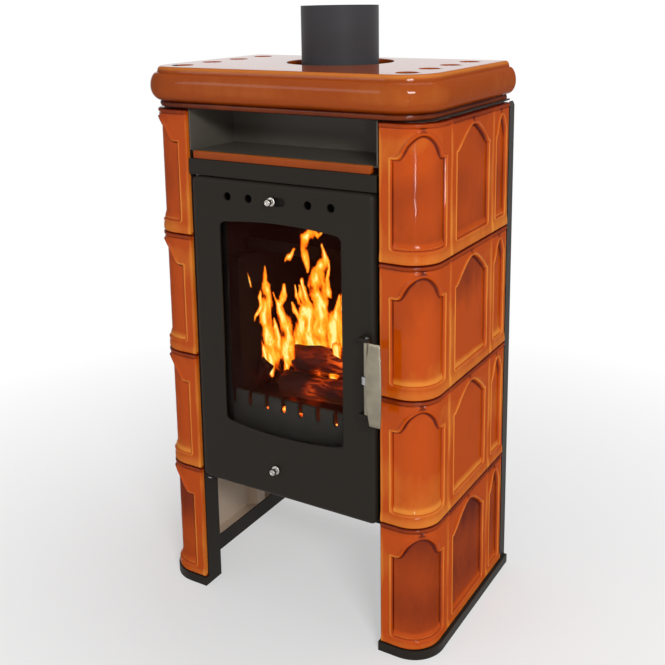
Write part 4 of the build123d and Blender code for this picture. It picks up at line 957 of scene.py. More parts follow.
def slab_profile():
    """The slab's edge from its top face to its underside: (outward, height, glaze depth with painted shade).
    """
    head = [(-36, 0, 0.5), (-14, 0, 0.5), (-7, 0, 0.42), (-4.5, 0.25, 0.3), (-2.4, 1.0, 0.16),
            (-0.6, 2.4, 0.10), (0.6, 4.4, 0.16), (1.3, 6.6, 0.3), (1.7, 8.6, 0.45), (2.0, 10.2, 0.58),
            (2.8, 11.6, 0.55)]
    neck_out, neck_down = head[-1][:2]
    belly_out, belly_down, foot_down = SLAB_BELLY / MM, 38, 63.5
    belly = []
    for k in range(1, 13):
        turn = math.radians(7.5 * k)
        belly.append((
            neck_out + (belly_out - neck_out) * math.sin(turn),
            neck_down + (belly_down - neck_down) * (1 - math.cos(turn)), 0.5 - 0.1 * math.sin(turn)))
    # The lower belly darkens towards the underside: painted shade
    for k in range(1, 12):
        turn = math.radians(8 * k)
        belly.append((
            belly_out * math.cos(turn) ** 1.3,
            belly_down + (foot_down - belly_down) * math.sin(turn), 0.4 + 0.55 * math.sin(turn) ** 3))
    # The lip under the belly takes the deepest glaze: painted shade under the belly
    lip = [(-1.0, 64.2, 1.0), (-2.6, 65.4, 1.0), (-2.0, 66.8, 0.95), (-1.4, 68.4, 0.85),
           (-1.5, 70.5, 0.85), (-2.2, 72.8, 0.9), (-3.4, 74.4, 0.95), (-5, 75, 1.0), (-36, 75, 1.0)]
    return [(out * MM, SLAB_HIGH.z - down * MM, depth) for out, down, depth in head + belly + lip]


def slab_route():
    """Stations round the slab's left, front and right edge: place and outward direction."""
    edge_x = SLAB_HIGH.x - SLAB_BELLY
    front_y = SLAB_LOW.y + SLAB_BELLY
    back_y = SLAB_HIGH.y
    radius = SLAB_CORNER_RADIUS
    side_steps, corner_steps, front_steps = 14, 24, 18
    stations = []
    for k in range(side_steps):
        stations.append((-edge_x, back_y + (front_y + radius - back_y) * k / side_steps, -1.0, 0.0))
    for k in range(corner_steps + 1):
        turn = math.radians(180 + 90 * k / corner_steps)
        stations.append((
            -edge_x + radius + radius * math.cos(turn), front_y + radius + radius * math.sin(turn),
            math.cos(turn), math.sin(turn)))
    mirrored = [(-x, y, -out_x, out_y) for x, y, out_x, out_y in reversed(stations)]
    run = 2 * (edge_x - radius)
    for k in range(1, front_steps):
        stations.append((-edge_x + radius + run * k / front_steps, front_y, 0.0, -1.0))
    return stations + mirrored


def hole_rim(work, x, y, radius, edge):
    """A hole's wall with a rounded upper rim. Returns its top and bottom loops of edges."""
    top = SLAB_HIGH.z
    profile = [(radius + edge + 3 * MM, top)]
    rim_steps = 5
    for k in range(rim_steps + 1):
        turn = math.radians(90 * k / rim_steps)
        profile.append((radius + edge - edge * math.sin(turn), top - edge + edge * math.cos(turn)))
    profile.append((radius, SLAB_LOW.z))
    rings = [
        [work.verts.new((x + reach * math.cos(turn), y + reach * math.sin(turn), z))
         for turn in circle(HOLE_SEGMENTS)]
        for reach, z in profile]
    for outer, inner in zip(rings, rings[1:]):
        for k in range(len(outer)):
            n = (k + 1) % len(outer)
            work.faces.new((outer[k], outer[n], inner[n], inner[k]))
    return [
        [work.edges.get(pair) for pair in zip(ring, ring[1:] + ring[:1])] for ring in (rings[0], rings[-1])]


def open_edge(work, first, second):
    """The edge between two points, made if it isn't there."""
    return work.edges.get((first, second)) or work.edges.new((first, second))


def slab_mesh(settings):
    """The glazed slab: swept edge, top and underside with holes, flat back."""
    work = bmesh.new()
    shade = work.verts.layers.float.new("glaze_depth")
    profile = slab_profile()
    rings = []
    for x, y, out_x, out_y in slab_route():
        ring = []
        for outward, z, depth in profile:
            point = work.verts.new((x + out_x * outward, y + out_y * outward, z))
            point[shade] = depth
            ring.append(point)
        rings.append(ring)
    for left, right in zip(rings, rings[1:]):
        for k in range(len(profile) - 1):
            work.faces.new((left[k], left[k + 1], right[k + 1], right[k]))
    top_edges, low_edges = (
        [open_edge(work, a[end], b[end]) for a, b in zip(rings, rings[1:])]
        + [open_edge(work, rings[0][end], rings[-1][end])]
        for end in (0, -1))
    holes = [(FLUE_X, FLUE_Y, SLAB_FLUE_HOLE)]
    for number in range(VENTS_PER_SIDE):
        for side in (-1, 1):
            holes.append((side * VENT_X, VENT_FIRST_Y + number * VENT_PITCH, VENT_RADIUS))
    for x, y, radius in holes:
        high_rim, low_rim = hole_rim(work, x, y, radius, settings.hole_edge)
        top_edges += high_rim
        low_edges += low_rim
    bmesh.ops.triangle_fill(work, edges=top_edges, use_beauty=True)
    bmesh.ops.triangle_fill(work, edges=low_edges, use_beauty=True)
    work.faces.new(rings[0] + rings[-1][::-1])
    for point in work.verts:
        if point[shade] == 0:
            point[shade] = OPEN_GLAZE
    return finish_mesh(mesh_of("slab_glaze_body", work), sharp_degrees=50)


def squared(wave):
    """Squares off a sine or cosine, for a section between a circle and a square."""
    return math.copysign(abs(wave) ** 0.45, wave)


def bar_mesh():
    """The glazed bar at the niche's edge: a rounded strip with turned-in ends."""
    low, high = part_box("shelf_bar")
    depth = high.y - low.y
    height = high.z - low.z
    middle = Vector((0, (low.y + high.y) / 2, (low.z + high.z) / 2))
    # How the bar narrows to its ends: distance from the end and share of the section
    ends = ((0, 0.72), (1.2 * MM, 0.9), (3.5 * MM, 1.0))
    straight = ends[-1][0]
    straight_steps = 21
    stations = [(low.x + inward, scale) for inward, scale in ends]
    for k in range(1, straight_steps):
        stations.append((low.x + straight + (high.x - low.x - 2 * straight) * (k / straight_steps), 1.0))
    stations += [(high.x - inward, scale) for inward, scale in reversed(ends)]
    segments = 28
    points = []
    painted_light_and_shade = []
    for x, scale in stations:
        for turn in circle(segments):
            y = squared(math.cos(turn)) * depth / 2
            z = squared(math.sin(turn)) * height / 2
            points.append((x, middle.y + y * scale, middle.z + z * scale))
            # The bar's glaze is lighter on its top and darker on its underside: painted light and shade
            rise = math.sin(turn)
            painted_light_and_shade.append(0.60 - 0.42 * max(0.0, rise) ** 2 + 0.15 * max(0.0, -rise))
    faces = tube_faces(len(stations), segments)
    faces.append(tuple(range(segments)))
    faces.append(tuple(range(len(points) - segments, len(points))))
    mesh = mesh_from("niche_bar", points, faces)
    write_values(mesh, "glaze_depth", painted_light_and_shade)
    return finish_mesh(mesh, sharp_degrees=60)


class STOVE_OT_slab(bpy.types.Operator):
    """Builds the glazed slab and the niche's glazed bar"""
    bl_idname = "stove.slab"
    bl_label = "Slab and bar"

    def execute(self, context):
        settings = context.scene.stove_slab
        glaze = glaze_material("slab glaze", settings, cloud_scale=6.0)
        add_piece("slab_glazed", slab_mesh(settings), (glaze,), "stove", ("top_slab",))
        add_piece("niche_bar_glazed", bar_mesh(), (glaze,), "stove", ("shelf_bar",))
        return {"FINISHED"}


# ---- steel, brick and flue ----------------------------------------------------------------------

# Finishes of the nodes that keep their CAD shape. Each has its colour, or the setting that holds it, the
# smoothest and roughest spots, the scales of its grain and its clouds and how strong the clouds are, the
# bump's strength and depth, how metallic it is, its gloss, and the nodes.
FINISHES = {
    "stove paint": (
        "paint", 0.40, 0.56, 1400.0, 7.0, 0.10, 0.25, 0.3 * MM, 0.0, 0.13,
        ("base_tray_left", "base_tray_right", "front_cheek_left", "front_cheek_right", "rear_post_left",
         "rear_post_right", "door_panel", "fascia", "top_plate", "handle_lugs", "hinge_brackets",
         "side_rails", "rear_panel")),
    # The niche's paint is lighter than the stove paint: painted light inside the niche
    "niche paint": (
        "niche", 0.34, 0.5, 1400.0, 7.0, 0.10, 0.25, 0.3 * MM, 0.0, 0.3, ("niche_box",)),
    "inner paint": (
        (0.008, 0.0068, 0.006), 0.5, 0.7, 900.0, 9.0, 0.3, 0.3, 0.4 * MM, 0.0, 0.12,
        ("front_frame", "gasket_channel", "glass_clips", "slider_guides", "air_slider", "flue_collar")),
    "flue paint": (
        "flue", 0.4, 0.55, 1200.0, 5.0, 0.12, 0.2, 0.3 * MM, 0.0, 0.1, ("flue_pipe",)),
    "plain steel": (
        (0.40, 0.40, 0.41), 0.25, 0.45, 700.0, 30.0, 0.15, 0.1, 0.3 * MM, 1.0, 0.5,
        ("hinge_pins", "handle_pin", "panel_screws", "latch_hook", "air_valve_rod")),
    "pan steel": (
        (0.20, 0.20, 0.21), 0.4, 0.6, 500.0, 25.0, 0.3, 0.15, 0.3 * MM, 1.0, 0.5, ("ash_pan",)),
    "grate iron": (
        (0.022, 0.0195, 0.0165), 0.6, 0.8, 420.0, 12.0, 0.3, 0.5, 0.4 * MM, 0.0, 0.2,
        ("fire_grate", "log_retainer")),
}


def dress(nodes, material):
    """Gives CAD nodes a material."""
    for name in nodes:
        mesh = NODES[name].data
        mesh.materials.clear()
        mesh.materials.append(material)


class STOVE_OT_steel(bpy.types.Operator):
    """Finishes the carcass, the door sheet, the flue and the firebox"""
    bl_idname = "stove.steel"
    bl_label = "Steel and brick"

    def execute(self, context):
        settings = context.scene.stove_steel
        for name, (base, *values, nodes) in FINISHES.items():
            base = getattr(settings, base) if isinstance(base, str) else base
            dress(nodes, grain_material(name, base, *values))
        brick = sooted_material(
            "firebrick", settings.brick, amount=0.70, rough=0.92, grain_scale=260.0, bump=0.6)
        shell = sooted_material(
            "firebox steel", (0.012, 0.010, 0.009), amount=0.5, rough=0.75, grain_scale=700.0, bump=0.3)
        dress(["wall_bricks", "floor_bricks", "baffle_plate"], brick)
        dress(["firebox_shell"], shell)
        dress(["door_gasket", "glass_gasket"], rope_material())
        return {"FINISHED"}


# ---- door fittings ------------------------------------------------------------------------------

# A knob's outline at its base and at its cap: distance from there in mm and share of the flange's radius
KNOB_BASE = (
    (0, 0.0), (0, 0.86), (0.4, 1.0), (1.6, 1.0), (2.4, 0.93), (3.0, 0.78), (3.4, 0.56), (4.4, 0.47))
KNOB_CAP = (
    (7.4, 0.46), (7.0, 0.58), (6.3, 0.68), (5.2, 0.70), (1.6, 0.70), (0.5, 0.64), (0, 0.54), (0.1, 0.42),
    (0.8, 0.34), (1.1, 0.0))

# Piece, the CAD node that it replaces and its body
KNOBS = (("upper_knob", "air_slider_knob", "upper_air"), ("lower_knob", "air_valve_knob", "lower_air"))


def knob_mesh(name, node):
    """A turned knob with a dished cap, as deep as the CAD node."""
    low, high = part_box(node)
    centre = ((low.x + high.x) / 2, high.y, (low.z + high.z) / 2)
    reach = high.y - low.y
    flange = (high.x - low.x) / 2
    profile = [(place * MM, share * flange) for place, share in KNOB_BASE]
    profile += [(reach - place * MM, share * flange) for place, share in KNOB_CAP]
    return finish_mesh(mesh_from(name, *lathe(profile, centre, (0, -1, 0), segments=48)), sharp_degrees=38)


# The handle's grip, arms and knuckle
GRIP_HALF = 15.5 * MM         # half the grip's width at its middle
GRIP_END_HALF = 10.75 * MM    # and at its ends
GRIP_BOW = 5 * MM
GRIP_THICK = 5 * MM
GRIP_EDGE = 1.6 * MM
GRIP_EASE_WIDTH = 26 * MM     # width over which the grip's side edges are eased
ARM_HEIGHT = 16 * MM
ARM_HALF = 3 * MM
ARM_EDGE = 1.0 * MM
KNUCKLE_RADIUS = 6 * MM
KNUCKLE_BORE = 3.6 * MM
KNUCKLE_EDGE = 0.8 * MM
KNUCKLE_INSET = 6.3 * MM      # from the lugs' ends


def grip_place(low, high, across, up):
    """A place on the barrel-shaped grip and how far the grip bows to the front there."""
    place = (up - 0.5) * 2
    bulge = 1 - place ** 2
    half_width = GRIP_END_HALF + (GRIP_HALF - GRIP_END_HALF) * bulge
    x = high.x - GRIP_HALF + (across - 0.5) * 2 * half_width
    z = (low.z + high.z) / 2 + place * (high.z - low.z) / 2
    return x, z, GRIP_BOW * bulge


def rounded_slab(work, corners, low, high, bevel):
    """A straight-sided slab from plan corners, with bevelled edges."""
    made = bmesh.new()
    under = [made.verts.new((x, y, low)) for x, y in corners]
    over = [made.verts.new((x, y, high)) for x, y in corners]
    made.faces.new(under[::-1])
    made.faces.new(over)
    for k in range(len(corners)):
        n = (k + 1) % len(corners)
        made.faces.new((under[k], under[n], over[n], over[k]))
    bmesh.ops.bevel(made, geom=list(made.edges), offset=bevel, segments=3, affect="EDGES", profile=0.5)
    part = mesh_of("part", made)
    work.from_mesh(part)
    bpy.data.meshes.remove(part)


def handle_mesh():
    """Grip, arms and knuckle of the door's handle."""
    low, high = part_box("door_handle")
    pin_low, pin_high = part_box("handle_pin")
    pin = ((pin_low.x + pin_high.x) / 2, (pin_low.y + pin_high.y) / 2)
    back_y = low.y + GRIP_THICK + GRIP_BOW
    columns, rows = 15, 41
    work = bmesh.new()
    grids = []
    for is_front in (True, False):
        grid = []
        for k in range(columns * rows):
            across = k % columns / (columns - 1)
            up = k // columns / (rows - 1)
            x, z, bow = grip_place(low, high, across, up)
            near = min(min(across, 1 - across) * GRIP_EASE_WIDTH, min(up, 1 - up) * (high.z - low.z))
            ease = max(0.0, GRIP_EDGE - near)
            tuck = GRIP_EDGE - math.sqrt(max(0.0, GRIP_EDGE ** 2 - ease ** 2))
            y = back_y - bow - (GRIP_THICK - tuck if is_front else tuck)
            grid.append(work.verts.new((x, y, z)))
        grids.append(grid)
    for grid in grids:
        for face in grid_faces(columns, rows):
            work.faces.new([grid[k] for k in face])
    front, back = grids
    rim = grid_rim(columns, rows)
    for k, n in zip(rim, rim[1:] + rim[:1]):
        work.faces.new((front[k], front[n], back[n], back[k]))

    reach = (high.x - GRIP_HALF, back_y - 3 * MM)
    along = Vector((reach[0] - pin[0], reach[1] - pin[1])).normalized()
    aside = Vector((-along.y, along.x)) * ARM_HALF
    corners = [
        (base[0] + sign * aside.x, base[1] + sign * aside.y)
        for base, sign in ((pin, 1), (reach, 1), (reach, -1), (pin, -1))]
    for arm_low in (low.z + 14 * MM, high.z - 30 * MM):
        rounded_slab(work, corners, arm_low, arm_low + ARM_HEIGHT, ARM_EDGE)

    lugs_low, lugs_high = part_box("handle_lugs")
    knuckle_low = lugs_low.z + KNUCKLE_INSET
    tall = lugs_high.z - KNUCKLE_INSET - knuckle_low
    eased = KNUCKLE_RADIUS - KNUCKLE_EDGE
    profile = [
        (0, KNUCKLE_BORE), (0, eased), (KNUCKLE_EDGE, KNUCKLE_RADIUS), (tall - KNUCKLE_EDGE, KNUCKLE_RADIUS),
        (tall, eased), (tall, KNUCKLE_BORE), (0, KNUCKLE_BORE)]
    points, faces = lathe(profile, (*pin, knuckle_low), (0, 0, 1), segments=40)
    made = [work.verts.new(p) for p in points]
    for face in faces:
        work.faces.new([made[k] for k in face])
    return finish_mesh(mesh_of("door_handle_form", work), sharp_degrees=40)


class STOVE_OT_fittings(bpy.types.Operator):
    """Builds the door's handle and knobs and finishes its glass"""
    bl_idname = "stove.fittings"
    bl_label = "Door fittings"

    def execute(self, context):
        settings = context.scene.stove_steel
        satin = brushed_material("satin nickel", settings.nickel, direction=(1400, 1400, 60), rough=0.34)
        turned = brushed_material("turned nickel", settings.polished, direction=(900, 40, 900), rough=0.26)
        add_piece("handle_grip", handle_mesh(), (satin,), "handle", ("door_handle",))
        for name, node, body in KNOBS:
            add_piece(name, knob_mesh(name, node), (turned,), body, (node,))
        dress(["door_glass"], glass_material())
        return {"FINISHED"}


# ---- fire ---------------------------------------------------------------------------------------

# Name, two ends measured from the door's front and the embers' foot, and radius, in metres
LOGS = (
    ("log_back", (-0.105, 0.225, 0.050), (0.110, 0.215, 0.046), 0.034),
    ("log_under", (-0.110, 0.110, 0.046), (0.108, 0.120, 0.044), 0.032),
    ("log_front", (-0.052, 0.086, 0.098), (0.116, 0.090, 0.104), 0.025),
    ("log_upper", (-0.040, 0.128, 0.140), (0.118, 0.120, 0.162), 0.035),
    ("log_side", (-0.132, 0.120, 0.062), (-0.100, 0.108, 0.128), 0.019),
    ("log_cross", (0.020, 0.235, 0.112), (0.050, 0.140, 0.112), 0.029),
)

# Heaps of embers: name, gap to the side bricks, room from the retainer to the heap's front and its back
# (None: to the back brick), height, and columns and rows of its grid
EMBERS = (
    ("ember_bed", 4 * MM, 6 * MM, None, 38 * MM, 74, 66),
    ("ember_ridge", 10 * MM, 2 * MM, 20 * MM, 96 * MM, 90, 14),
)
SIDE_BRICK = 22 * MM
BACK_BRICK = 30 * MM
BED_GAP = 0.4 * MM            # between the floor bricks and the embers


def log_mesh(name, start, end, radius, seed):
    """A charred log: a lumpy tube with closed, slightly sunken ends."""
    axis = (end - start).normalized()
    side = axis.orthogonal().normalized()
    other = axis.cross(side)
    rings, segments = 34, 30
    drift = Vector((seed * 3.1, seed * 1.7, seed * 2.3))
    points = []
    for ring in range(rings):
        along = ring / (rings - 1)
        centre = start.lerp(end, along)
        taper = 1 - 0.10 * along
        for turn in circle(segments):
            arm = side * math.cos(turn) + other * math.sin(turn)
            place = centre + arm * radius
            ridge = noise.noise(Vector((math.cos(turn), math.sin(turn), along * 1.4)) * 2.6 + drift)
            rough = noise.noise(place * 75 + drift)
            size = radius * taper * (1 + 0.13 * ridge + 0.07 * rough)
            if ring in (0, rings - 1):
                size *= 0.9
            points.append(centre + arm * size)
    faces = tube_faces(rings, segments)
    for first, middle, inward in ((0, start, axis), (len(points) - segments, end, -axis)):
        tip = len(points)
        points.append(middle + inward * 2 * MM)
        faces += [(first + k, first + (k + 1) % segments, tip) for k in range(segments)]
    return finish_mesh(mesh_from(name, points, faces), sharp_degrees=60)


def ember_heap_mesh(name, low, high, columns, rows):
    """A lumpy heap of embers between two corners; its lumps rise to high."""
    points = []
    slope = 4                 # points over which the heap rises from its rim
    for j in range(rows):
        for i in range(columns):
            x = low.x + (high.x - low.x) * i / (columns - 1)
            y = low.y + (high.y - low.y) * j / (rows - 1)
            edge = min(i, columns - 1 - i, j, rows - 1 - j)
            lump = noise.noise(Vector((x, y, 0.3)) * 38) + 0.5 * noise.noise(Vector((x, y, 1.7)) * 95)
            rise = max(0.06, 0.45 + 0.36 * lump) * min(1, edge / slope)
            points.append((x, y, low.z + (high.z - low.z) * min(1, rise)))
    faces = grid_faces(columns, rows)
    faces.append(tuple(grid_rim(columns, rows)[::-1]))
    return finish_mesh(mesh_from(name, points, faces), sharp_degrees=70)


# Sheets of fire: name, tongues, place behind the door's front and lean towards the door. A tongue is a
# line of places from foot to tip, each with its x, its height above the bed and the half width, in mm.
FLAMES = (
    ("flame_front", (
        ((-87, 99, 4), (-91, 122, 21), (-90, 159, 23), (-93, 198, 14), (-95, 230, 13), (-85, 266, 10),
         (-87, 294, 9), (-85, 329, 2)),
        ((-54, 121, 8), (-54, 148, 20), (-45, 174, 17), (-47, 203, 14), (-46, 231, 13), (-53, 252, 10),
         (-60, 268, 5), (-67, 278, 1.5)),
        ((-131, 188, 2), (-131, 206, 4), (-117, 224, 4), (-102, 243, 5), (-104, 263, 5), (-100, 283, 1.5)),
        ((-52, 253, 5), (-47, 279, 6), (-40, 298, 4)),
        ((-68, 163, 12), (-72, 202, 6), (-74, 227, 2)),
        ((67, 189, 12), (60, 152, 13), (50, 129, 8), (52, 102, 6), (48, 79, 4)),
        ((-123, 290, 2.5), (-125, 303, 6), (-123, 315, 1.5)),
        ((-106, 119, 11), (-111, 151, 9), (-108, 164, 2))), 0.104, 0.11),
    ("flame_main", (
        ((0, 172, 14), (1, 225, 13), (1, 271, 9), (2, 299, 7), (0, 318, 2)),
        ((13, 335, 4), (11, 359, 7.5), (8, 384, 7), (14, 403, 9), (34, 416, 9), (58, 421, 2)),
        ((17, 176, 19), (26, 230, 18), (29, 276, 17), (30, 311, 18), (37, 341, 13), (51, 364, 8),
         (52, 396, 2)),
        ((-34, 172, 12), (-22, 207, 13), (-10, 240, 11), (-12, 280, 7), (-8, 306, 2)),
        ((-10, 174, 14), (-14, 214, 12), (-30, 246, 6), (-34, 268, 2)),
        ((54, 190, 21), (54, 224, 22), (63, 254, 15), (72, 276, 6), (74, 295, 2)),
        ((76, 190, 15), (84, 247, 13), (90, 283, 3), (96, 310, 2)),
        ((1, 232, 8), (-16, 258, 5), (-22, 278, 4.5), (-19, 302, 1.5)),
        ((-34, 343, 1.5), (-23, 363, 5), (-11, 382, 1.5)),
        ((49, 296, 6), (55, 331, 4), (56, 358, 1.5))), 0.116, 0.21),
    ("flame_rear", (
        ((-62, 110, 16), (-66, 170, 15), (-58, 215, 9), (-64, 250, 2)),
        ((-20, 120, 18), (-26, 190, 16), (-18, 240, 8), (-22, 275, 2)),
        ((24, 140, 18), (18, 200, 16), (26, 250, 9), (20, 290, 2)),
        ((70, 130, 17), (66, 190, 15), (74, 240, 8), (70, 270, 2))), 0.190, 0.0),
)


def tongue_heat(tongue, x, z):
    """Heat of one tongue of fire at a place: 1 along its middle, 0 at its outline."""
    best = -1.0
    fullness = 1.7
    for (x0, z0, half0), (x1, z1, half1) in zip(tongue, tongue[1:]):
        run = x1 - x0
        rise = z1 - z0
        share = ((x - x0) * run + (z - z0) * rise) / (run * run + rise * rise)
        share = min(1.0, max(0.0, share))
        off = math.hypot(x - x0 - share * run, z - z0 - share * rise) / (half0 + (half1 - half0) * share)
        best = max(best, 1 - off ** fullness)
    return best


def stir(x, z, width, height, layer, drift):
    """Noise over a sheet of fire, with lumps of a width and a height in mm."""
    return noise.noise(Vector((x / (width * MM), layer, z / (height * MM))) + drift)


def flame_heat(tongues, x, z, drift):
    """Heat of a sheet of fire at a place, from its tongues. 0 or less is outside the flames."""
    aside = 6 * MM * stir(x, z, 30, 55, 0.3, drift) + 3.4 * MM * stir(x, z, 11, 24, 1.9, drift)
    lift = 10 * MM * stir(x, z, 16, 40, 5.3, drift)
    x, z = x + aside, z + lift
    torn = stir(x, z, 13, 36, 4.2, drift)
    shreds = stir(x, z, 5.5, 18, 7.7, drift)
    return max(tongue_heat(tongue, x, z) for tongue in tongues) - 0.85 * max(0.0, torn) - 0.34 * shreds


FLAME_FULLNESS = 1.12         # how much wider the tongues burn than FLAMES says
FLAME_EDGE = -0.02            # heat at which a sheet is cut
SHEET_SIDE = 9 * MM           # room beside the tongues
SHEET_END = 8 * MM            # room over and under them


def flame_sheet_mesh(settings, name, tongues, plane_y, lean, seed):
    """A rippling sheet cut to the outline of its flames, leaning towards the door as it rises."""
    step = settings.flame_step
    drift = Vector((seed * 1.37, seed * 2.91, settings.seed * 0.77))
    places = [place for tongue in tongues for place in tongue]
    low_x = min(x - half for x, z, half in places) - SHEET_SIDE
    high_x = max(x + half for x, z, half in places) + SHEET_SIDE
    low_z = min(z - half for x, z, half in places) - SHEET_END
    high_z = max(z + half for x, z, half in places) + SHEET_END
    columns = int((high_x - low_x) / step) + 1
    rows = int((high_z - low_z) / step) + 1
    points = []
    heats = []
    for j in range(rows):
        for i in range(columns):
            x = low_x + i * step
            z = low_z + j * step
            ripple = 12 * MM * stir(x, z, 45, 60, 0.0, drift)
            points.append((x, plane_y - lean * (z - low_z) + ripple, z))
            heats.append(flame_heat(tongues, x, z, drift))
    faces = [face for face in grid_faces(columns, rows) if max(heats[k] for k in face) > FLAME_EDGE]
    used = sorted({k for face in faces for k in face})
    number = {k: n for n, k in enumerate(used)}
    mesh = mesh_from(name, [points[k] for k in used], [tuple(number[k] for k in face) for face in faces])
    write_values(mesh, "flame_heat", [max(0.0, heats[k]) for k in used])
    mesh.shade_smooth()
    return mesh


class STOVE_OT_fire(bpy.types.Operator):
    """Lays the logs and embers and lights the flames"""
    bl_idname = "stove.fire"
    bl_label = "Fire"

    def execute(self, context):
        settings = context.scene.stove_fire
        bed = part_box("floor_bricks")[1].z + BED_GAP
        wall_low, wall_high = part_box("wall_bricks")
        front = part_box("log_retainer")[1].y
        glow = settings.ember_strength
        char = ember_material(
            "charred wood", scale=80.0, spread=0.44, strength=0.30 * glow, char=(0.050, 0.008, 0.003),
            stretch=(0.22, 1, 1))
        coals = ember_material(
            "embers", scale=90.0, spread=0.70, strength=glow, char=(0.040, 0.018, 0.010))
        for name, aside, near, far, tall, columns, rows in EMBERS:
            back = wall_high.y - BACK_BRICK if far is None else front + far
            low = Vector((wall_low.x + SIDE_BRICK + aside, front + near, bed))
            high = Vector((wall_high.x - SIDE_BRICK - aside, back, bed + tall))
            self.add(name, ember_heap_mesh(name, low, high, columns, rows), coals)
        origin = Vector((0, DOOR_FRONT_Y, bed))
        for number, (name, start, end, radius) in enumerate(LOGS, 1):
            mesh = log_mesh(name, origin + Vector(start), origin + Vector(end), radius, number)
            self.add(name, mesh, char)
        flame = flame_material(settings.flame_strength)
        for number, (name, tongues, behind, lean) in enumerate(FLAMES, 1):
            placed = [
                [(x * MM, bed + z * MM, FLAME_FULLNESS * half * MM) for x, z, half in tongue]
                for tongue in tongues]
            mesh = flame_sheet_mesh(settings, name, placed, DOOR_FRONT_Y + behind, lean, number)
            self.add(name, mesh, flame)
        return {"FINISHED"}

    def add(self, name, mesh, material):
        """Adds one piece of the fire."""
        add_piece(name, mesh, (material,), "stove")


# ---- stage --------------------------------------------------------------------------------------

# Lamps: name, place, what it lights, width and height in metres, and power in watts
MIDDLE = (0, -0.1, 0.6)
LAMPS = (
    ("key", (-1.45, -2.36, 1.87), MIDDLE, 1.05, 0.55, 5),
    ("window", (2.0, -2.05, 1.95), MIDDLE, 0.8, 0.4, 40),
    ("strip", (1.54, -2.07, 0.45), (0.25, -0.15, 0.85), 0.045, 0.22, 4),
    ("top", (0.5, 0.5, 3.2), MIDDLE, 1.8, 1.8, 22),
)
FLOOR_HALF = 30.0
CLEAR_FLOOR, WHITE_FLOOR = 0.35, 1.5    # distances between which the floor fades into white
SENSOR_WIDTH = 36             # millimetres
CAMERA_REACH = 100


def add_lamp(name, place, target, width, height, power):
    """A soft rectangular lamp that points at its target."""
    data = bpy.data.lights.new(name, "AREA")
    data.shape = "RECTANGLE"
    data.size = width
    data.size_y = height
    data.energy = power
    lamp = bpy.data.objects.new(name, data)
    lamp.location = place
    lamp.rotation_mode = "QUATERNION"
    lamp.rotation_quaternion = (Vector(target) - Vector(place)).to_track_quat("-Z", "Y")
    bpy.context.scene.collection.objects.link(lamp)


def seen_rays(sheet):
    """1 for rays from the camera, by way of glass and metal too, and 0 for those that carry light."""
    rays = sheet.add("ShaderNodeLightPath")
    seen = sheet.maths("MAXIMUM", rays.outputs["Is Camera Ray"], rays.outputs["Is Transmission Ray"])
    return sheet.maths("MAXIMUM", seen, rays.outputs["Is Glossy Ray"])


def add_floor(tint):
    """A wide pale floor that keeps the stove's shadow and fades into the white surroundings."""
    half = FLOOR_HALF
    corners = [(-half, -half, 0), (half, -half, 0), (half, half, 0), (-half, half, 0)]
    mesh = mesh_from("floor", corners, [(0, 1, 2, 3)])
    material, sheet, surface = new_material("pale floor")
    grain = sheet.group(
        "grain", Base=tint, Grain_scale=200.0, Cloud_scale=1.5, Cloud_amount=0.01, Smooth=0.6, Rough=0.7)
    reach = sheet.vector_maths("LENGTH", sheet.place()).outputs["Value"]
    fade = sheet.maths("MULTIPLY", sheet.span(reach, CLEAR_FLOOR, WHITE_FLOOR, 0.45, 1.0), seen_rays(sheet))
    sheet.fill(
        surface, Base_Color=sheet.mix(fade, grain.outputs["Color"], (0, 0, 0)),
        Emission_Color=sheet.mix(fade, (0, 0, 0), (1, 1, 1)), Emission_Strength=1.0,
        Roughness=grain.outputs["Roughness"], Specular_IOR_Level=0.0)
    mesh.materials.append(material)
    floor = bpy.data.objects.new("floor", mesh)
    bpy.context.scene.collection.objects.link(floor)


def light_world(ambient):
    """White where the camera and reflections look, softer for the light that it sheds."""
    world = bpy.data.worlds.new("studio")
    world.use_nodes = True
    bpy.context.scene.world = world
    sheet = NodeSheet(world.node_tree)
    strength = sheet.span(seen_rays(sheet), 0, 1, ambient, 1.0)
    sheet.fill(world.node_tree.nodes["Background"], Strength=strength, Color=(1, 1, 1))


def camera_turn(yaw, pitch, roll):
    """The camera's turn from its yaw to the left, its tilt down and its roll."""
    ahead = Vector((-math.sin(yaw) * math.cos(pitch), math.cos(yaw) * math.cos(pitch), -math.sin(pitch)))
    right = Vector((math.cos(yaw), math.sin(yaw), 0))
    up = right.cross(ahead)
    level_right = math.cos(roll) * right + math.sin(roll) * up
    level_up = -math.sin(roll) * right + math.cos(roll) * up
    return Matrix((level_right, level_up, -ahead)).transposed().to_4x4()


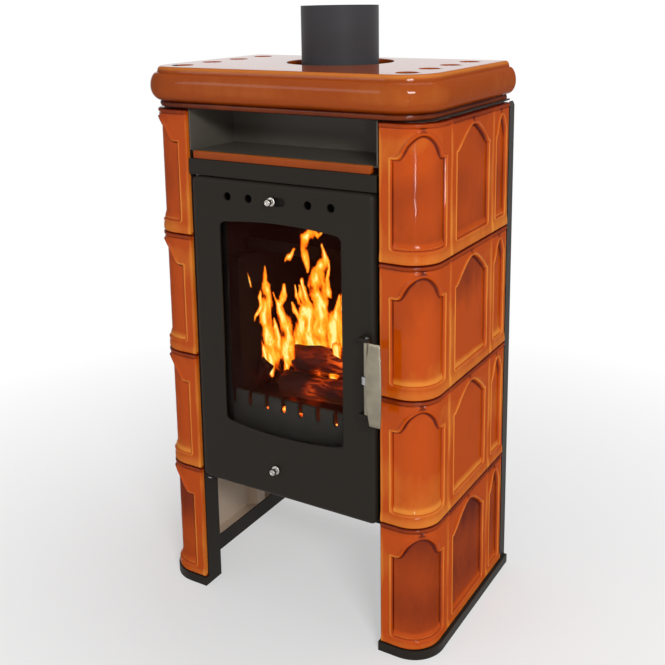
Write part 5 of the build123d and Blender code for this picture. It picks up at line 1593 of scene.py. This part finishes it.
class STOVE_OT_stage(bpy.types.Operator):
    """Sets the floor, the lamps and the camera"""
    bl_idname = "stove.stage"
    bl_label = "Stage"

    def execute(self, context):
        settings = context.scene.stove_stage
        add_floor(settings.floor)
        light_world(settings.ambient)
        for lamp in LAMPS:
            add_lamp(*lamp)
        data = bpy.data.cameras.new("camera")
        data.sensor_width = SENSOR_WIDTH
        data.lens = settings.lens
        data.shift_y = settings.shift
        data.clip_end = CAMERA_REACH
        camera = bpy.data.objects.new("camera", data)
        turn = camera_turn(settings.camera_yaw, settings.camera_pitch, settings.camera_roll)
        camera.matrix_world = Matrix.Translation(Vector(settings.camera_place)) @ turn
        context.scene.collection.objects.link(camera)
        context.scene.camera = camera
        context.scene.view_settings.view_transform = "Standard"
        return {"FINISHED"}


# ---- panel and registration ---------------------------------------------------------------------

OPERATORS = (STOVE_OT_tiles, STOVE_OT_slab, STOVE_OT_steel, STOVE_OT_fittings, STOVE_OT_fire, STOVE_OT_stage)
SETTINGS = (
    ("stove_tiles", StoveTileSettings),
    ("stove_slab", StoveSlabSettings),
    ("stove_steel", StoveSteelSettings),
    ("stove_fire", StoveFireSettings),
    ("stove_stage", StoveStageSettings),
)


class STOVE_PT_panel(bpy.types.Panel):
    """Lists the stove's operators and settings"""
    bl_label = "Tiled stove"
    bl_idname = "STOVE_PT_panel"
    bl_space_type = "VIEW_3D"
    bl_region_type = "UI"
    bl_category = "Stove"

    def draw(self, context):
        for operator in OPERATORS:
            self.layout.operator(operator.bl_idname)
        for attribute, group in SETTINGS:
            box = self.layout.box()
            for name in group.__annotations__:
                box.prop(getattr(context.scene, attribute), name)


def register():
    """Registers the settings, the operators and the panel."""
    for attribute, group in SETTINGS:
        bpy.utils.register_class(group)
        setattr(bpy.types.Scene, attribute, PointerProperty(type=group))
    for operator in OPERATORS:
        bpy.utils.register_class(operator)
    bpy.utils.register_class(STOVE_PT_panel)


def unregister():
    """Takes all of it out again."""
    bpy.utils.unregister_class(STOVE_PT_panel)
    for operator in reversed(OPERATORS):
        bpy.utils.unregister_class(operator)
    for attribute, group in reversed(SETTINGS):
        delattr(bpy.types.Scene, attribute)
        bpy.utils.unregister_class(group)


def main():
    """Builds everything."""
    register()
    bpy.ops.stove.tiles()
    bpy.ops.stove.slab()
    bpy.ops.stove.steel()
    bpy.ops.stove.fittings()
    bpy.ops.stove.fire()
    bpy.ops.stove.stage()


if __name__ == "__main__":
    main()
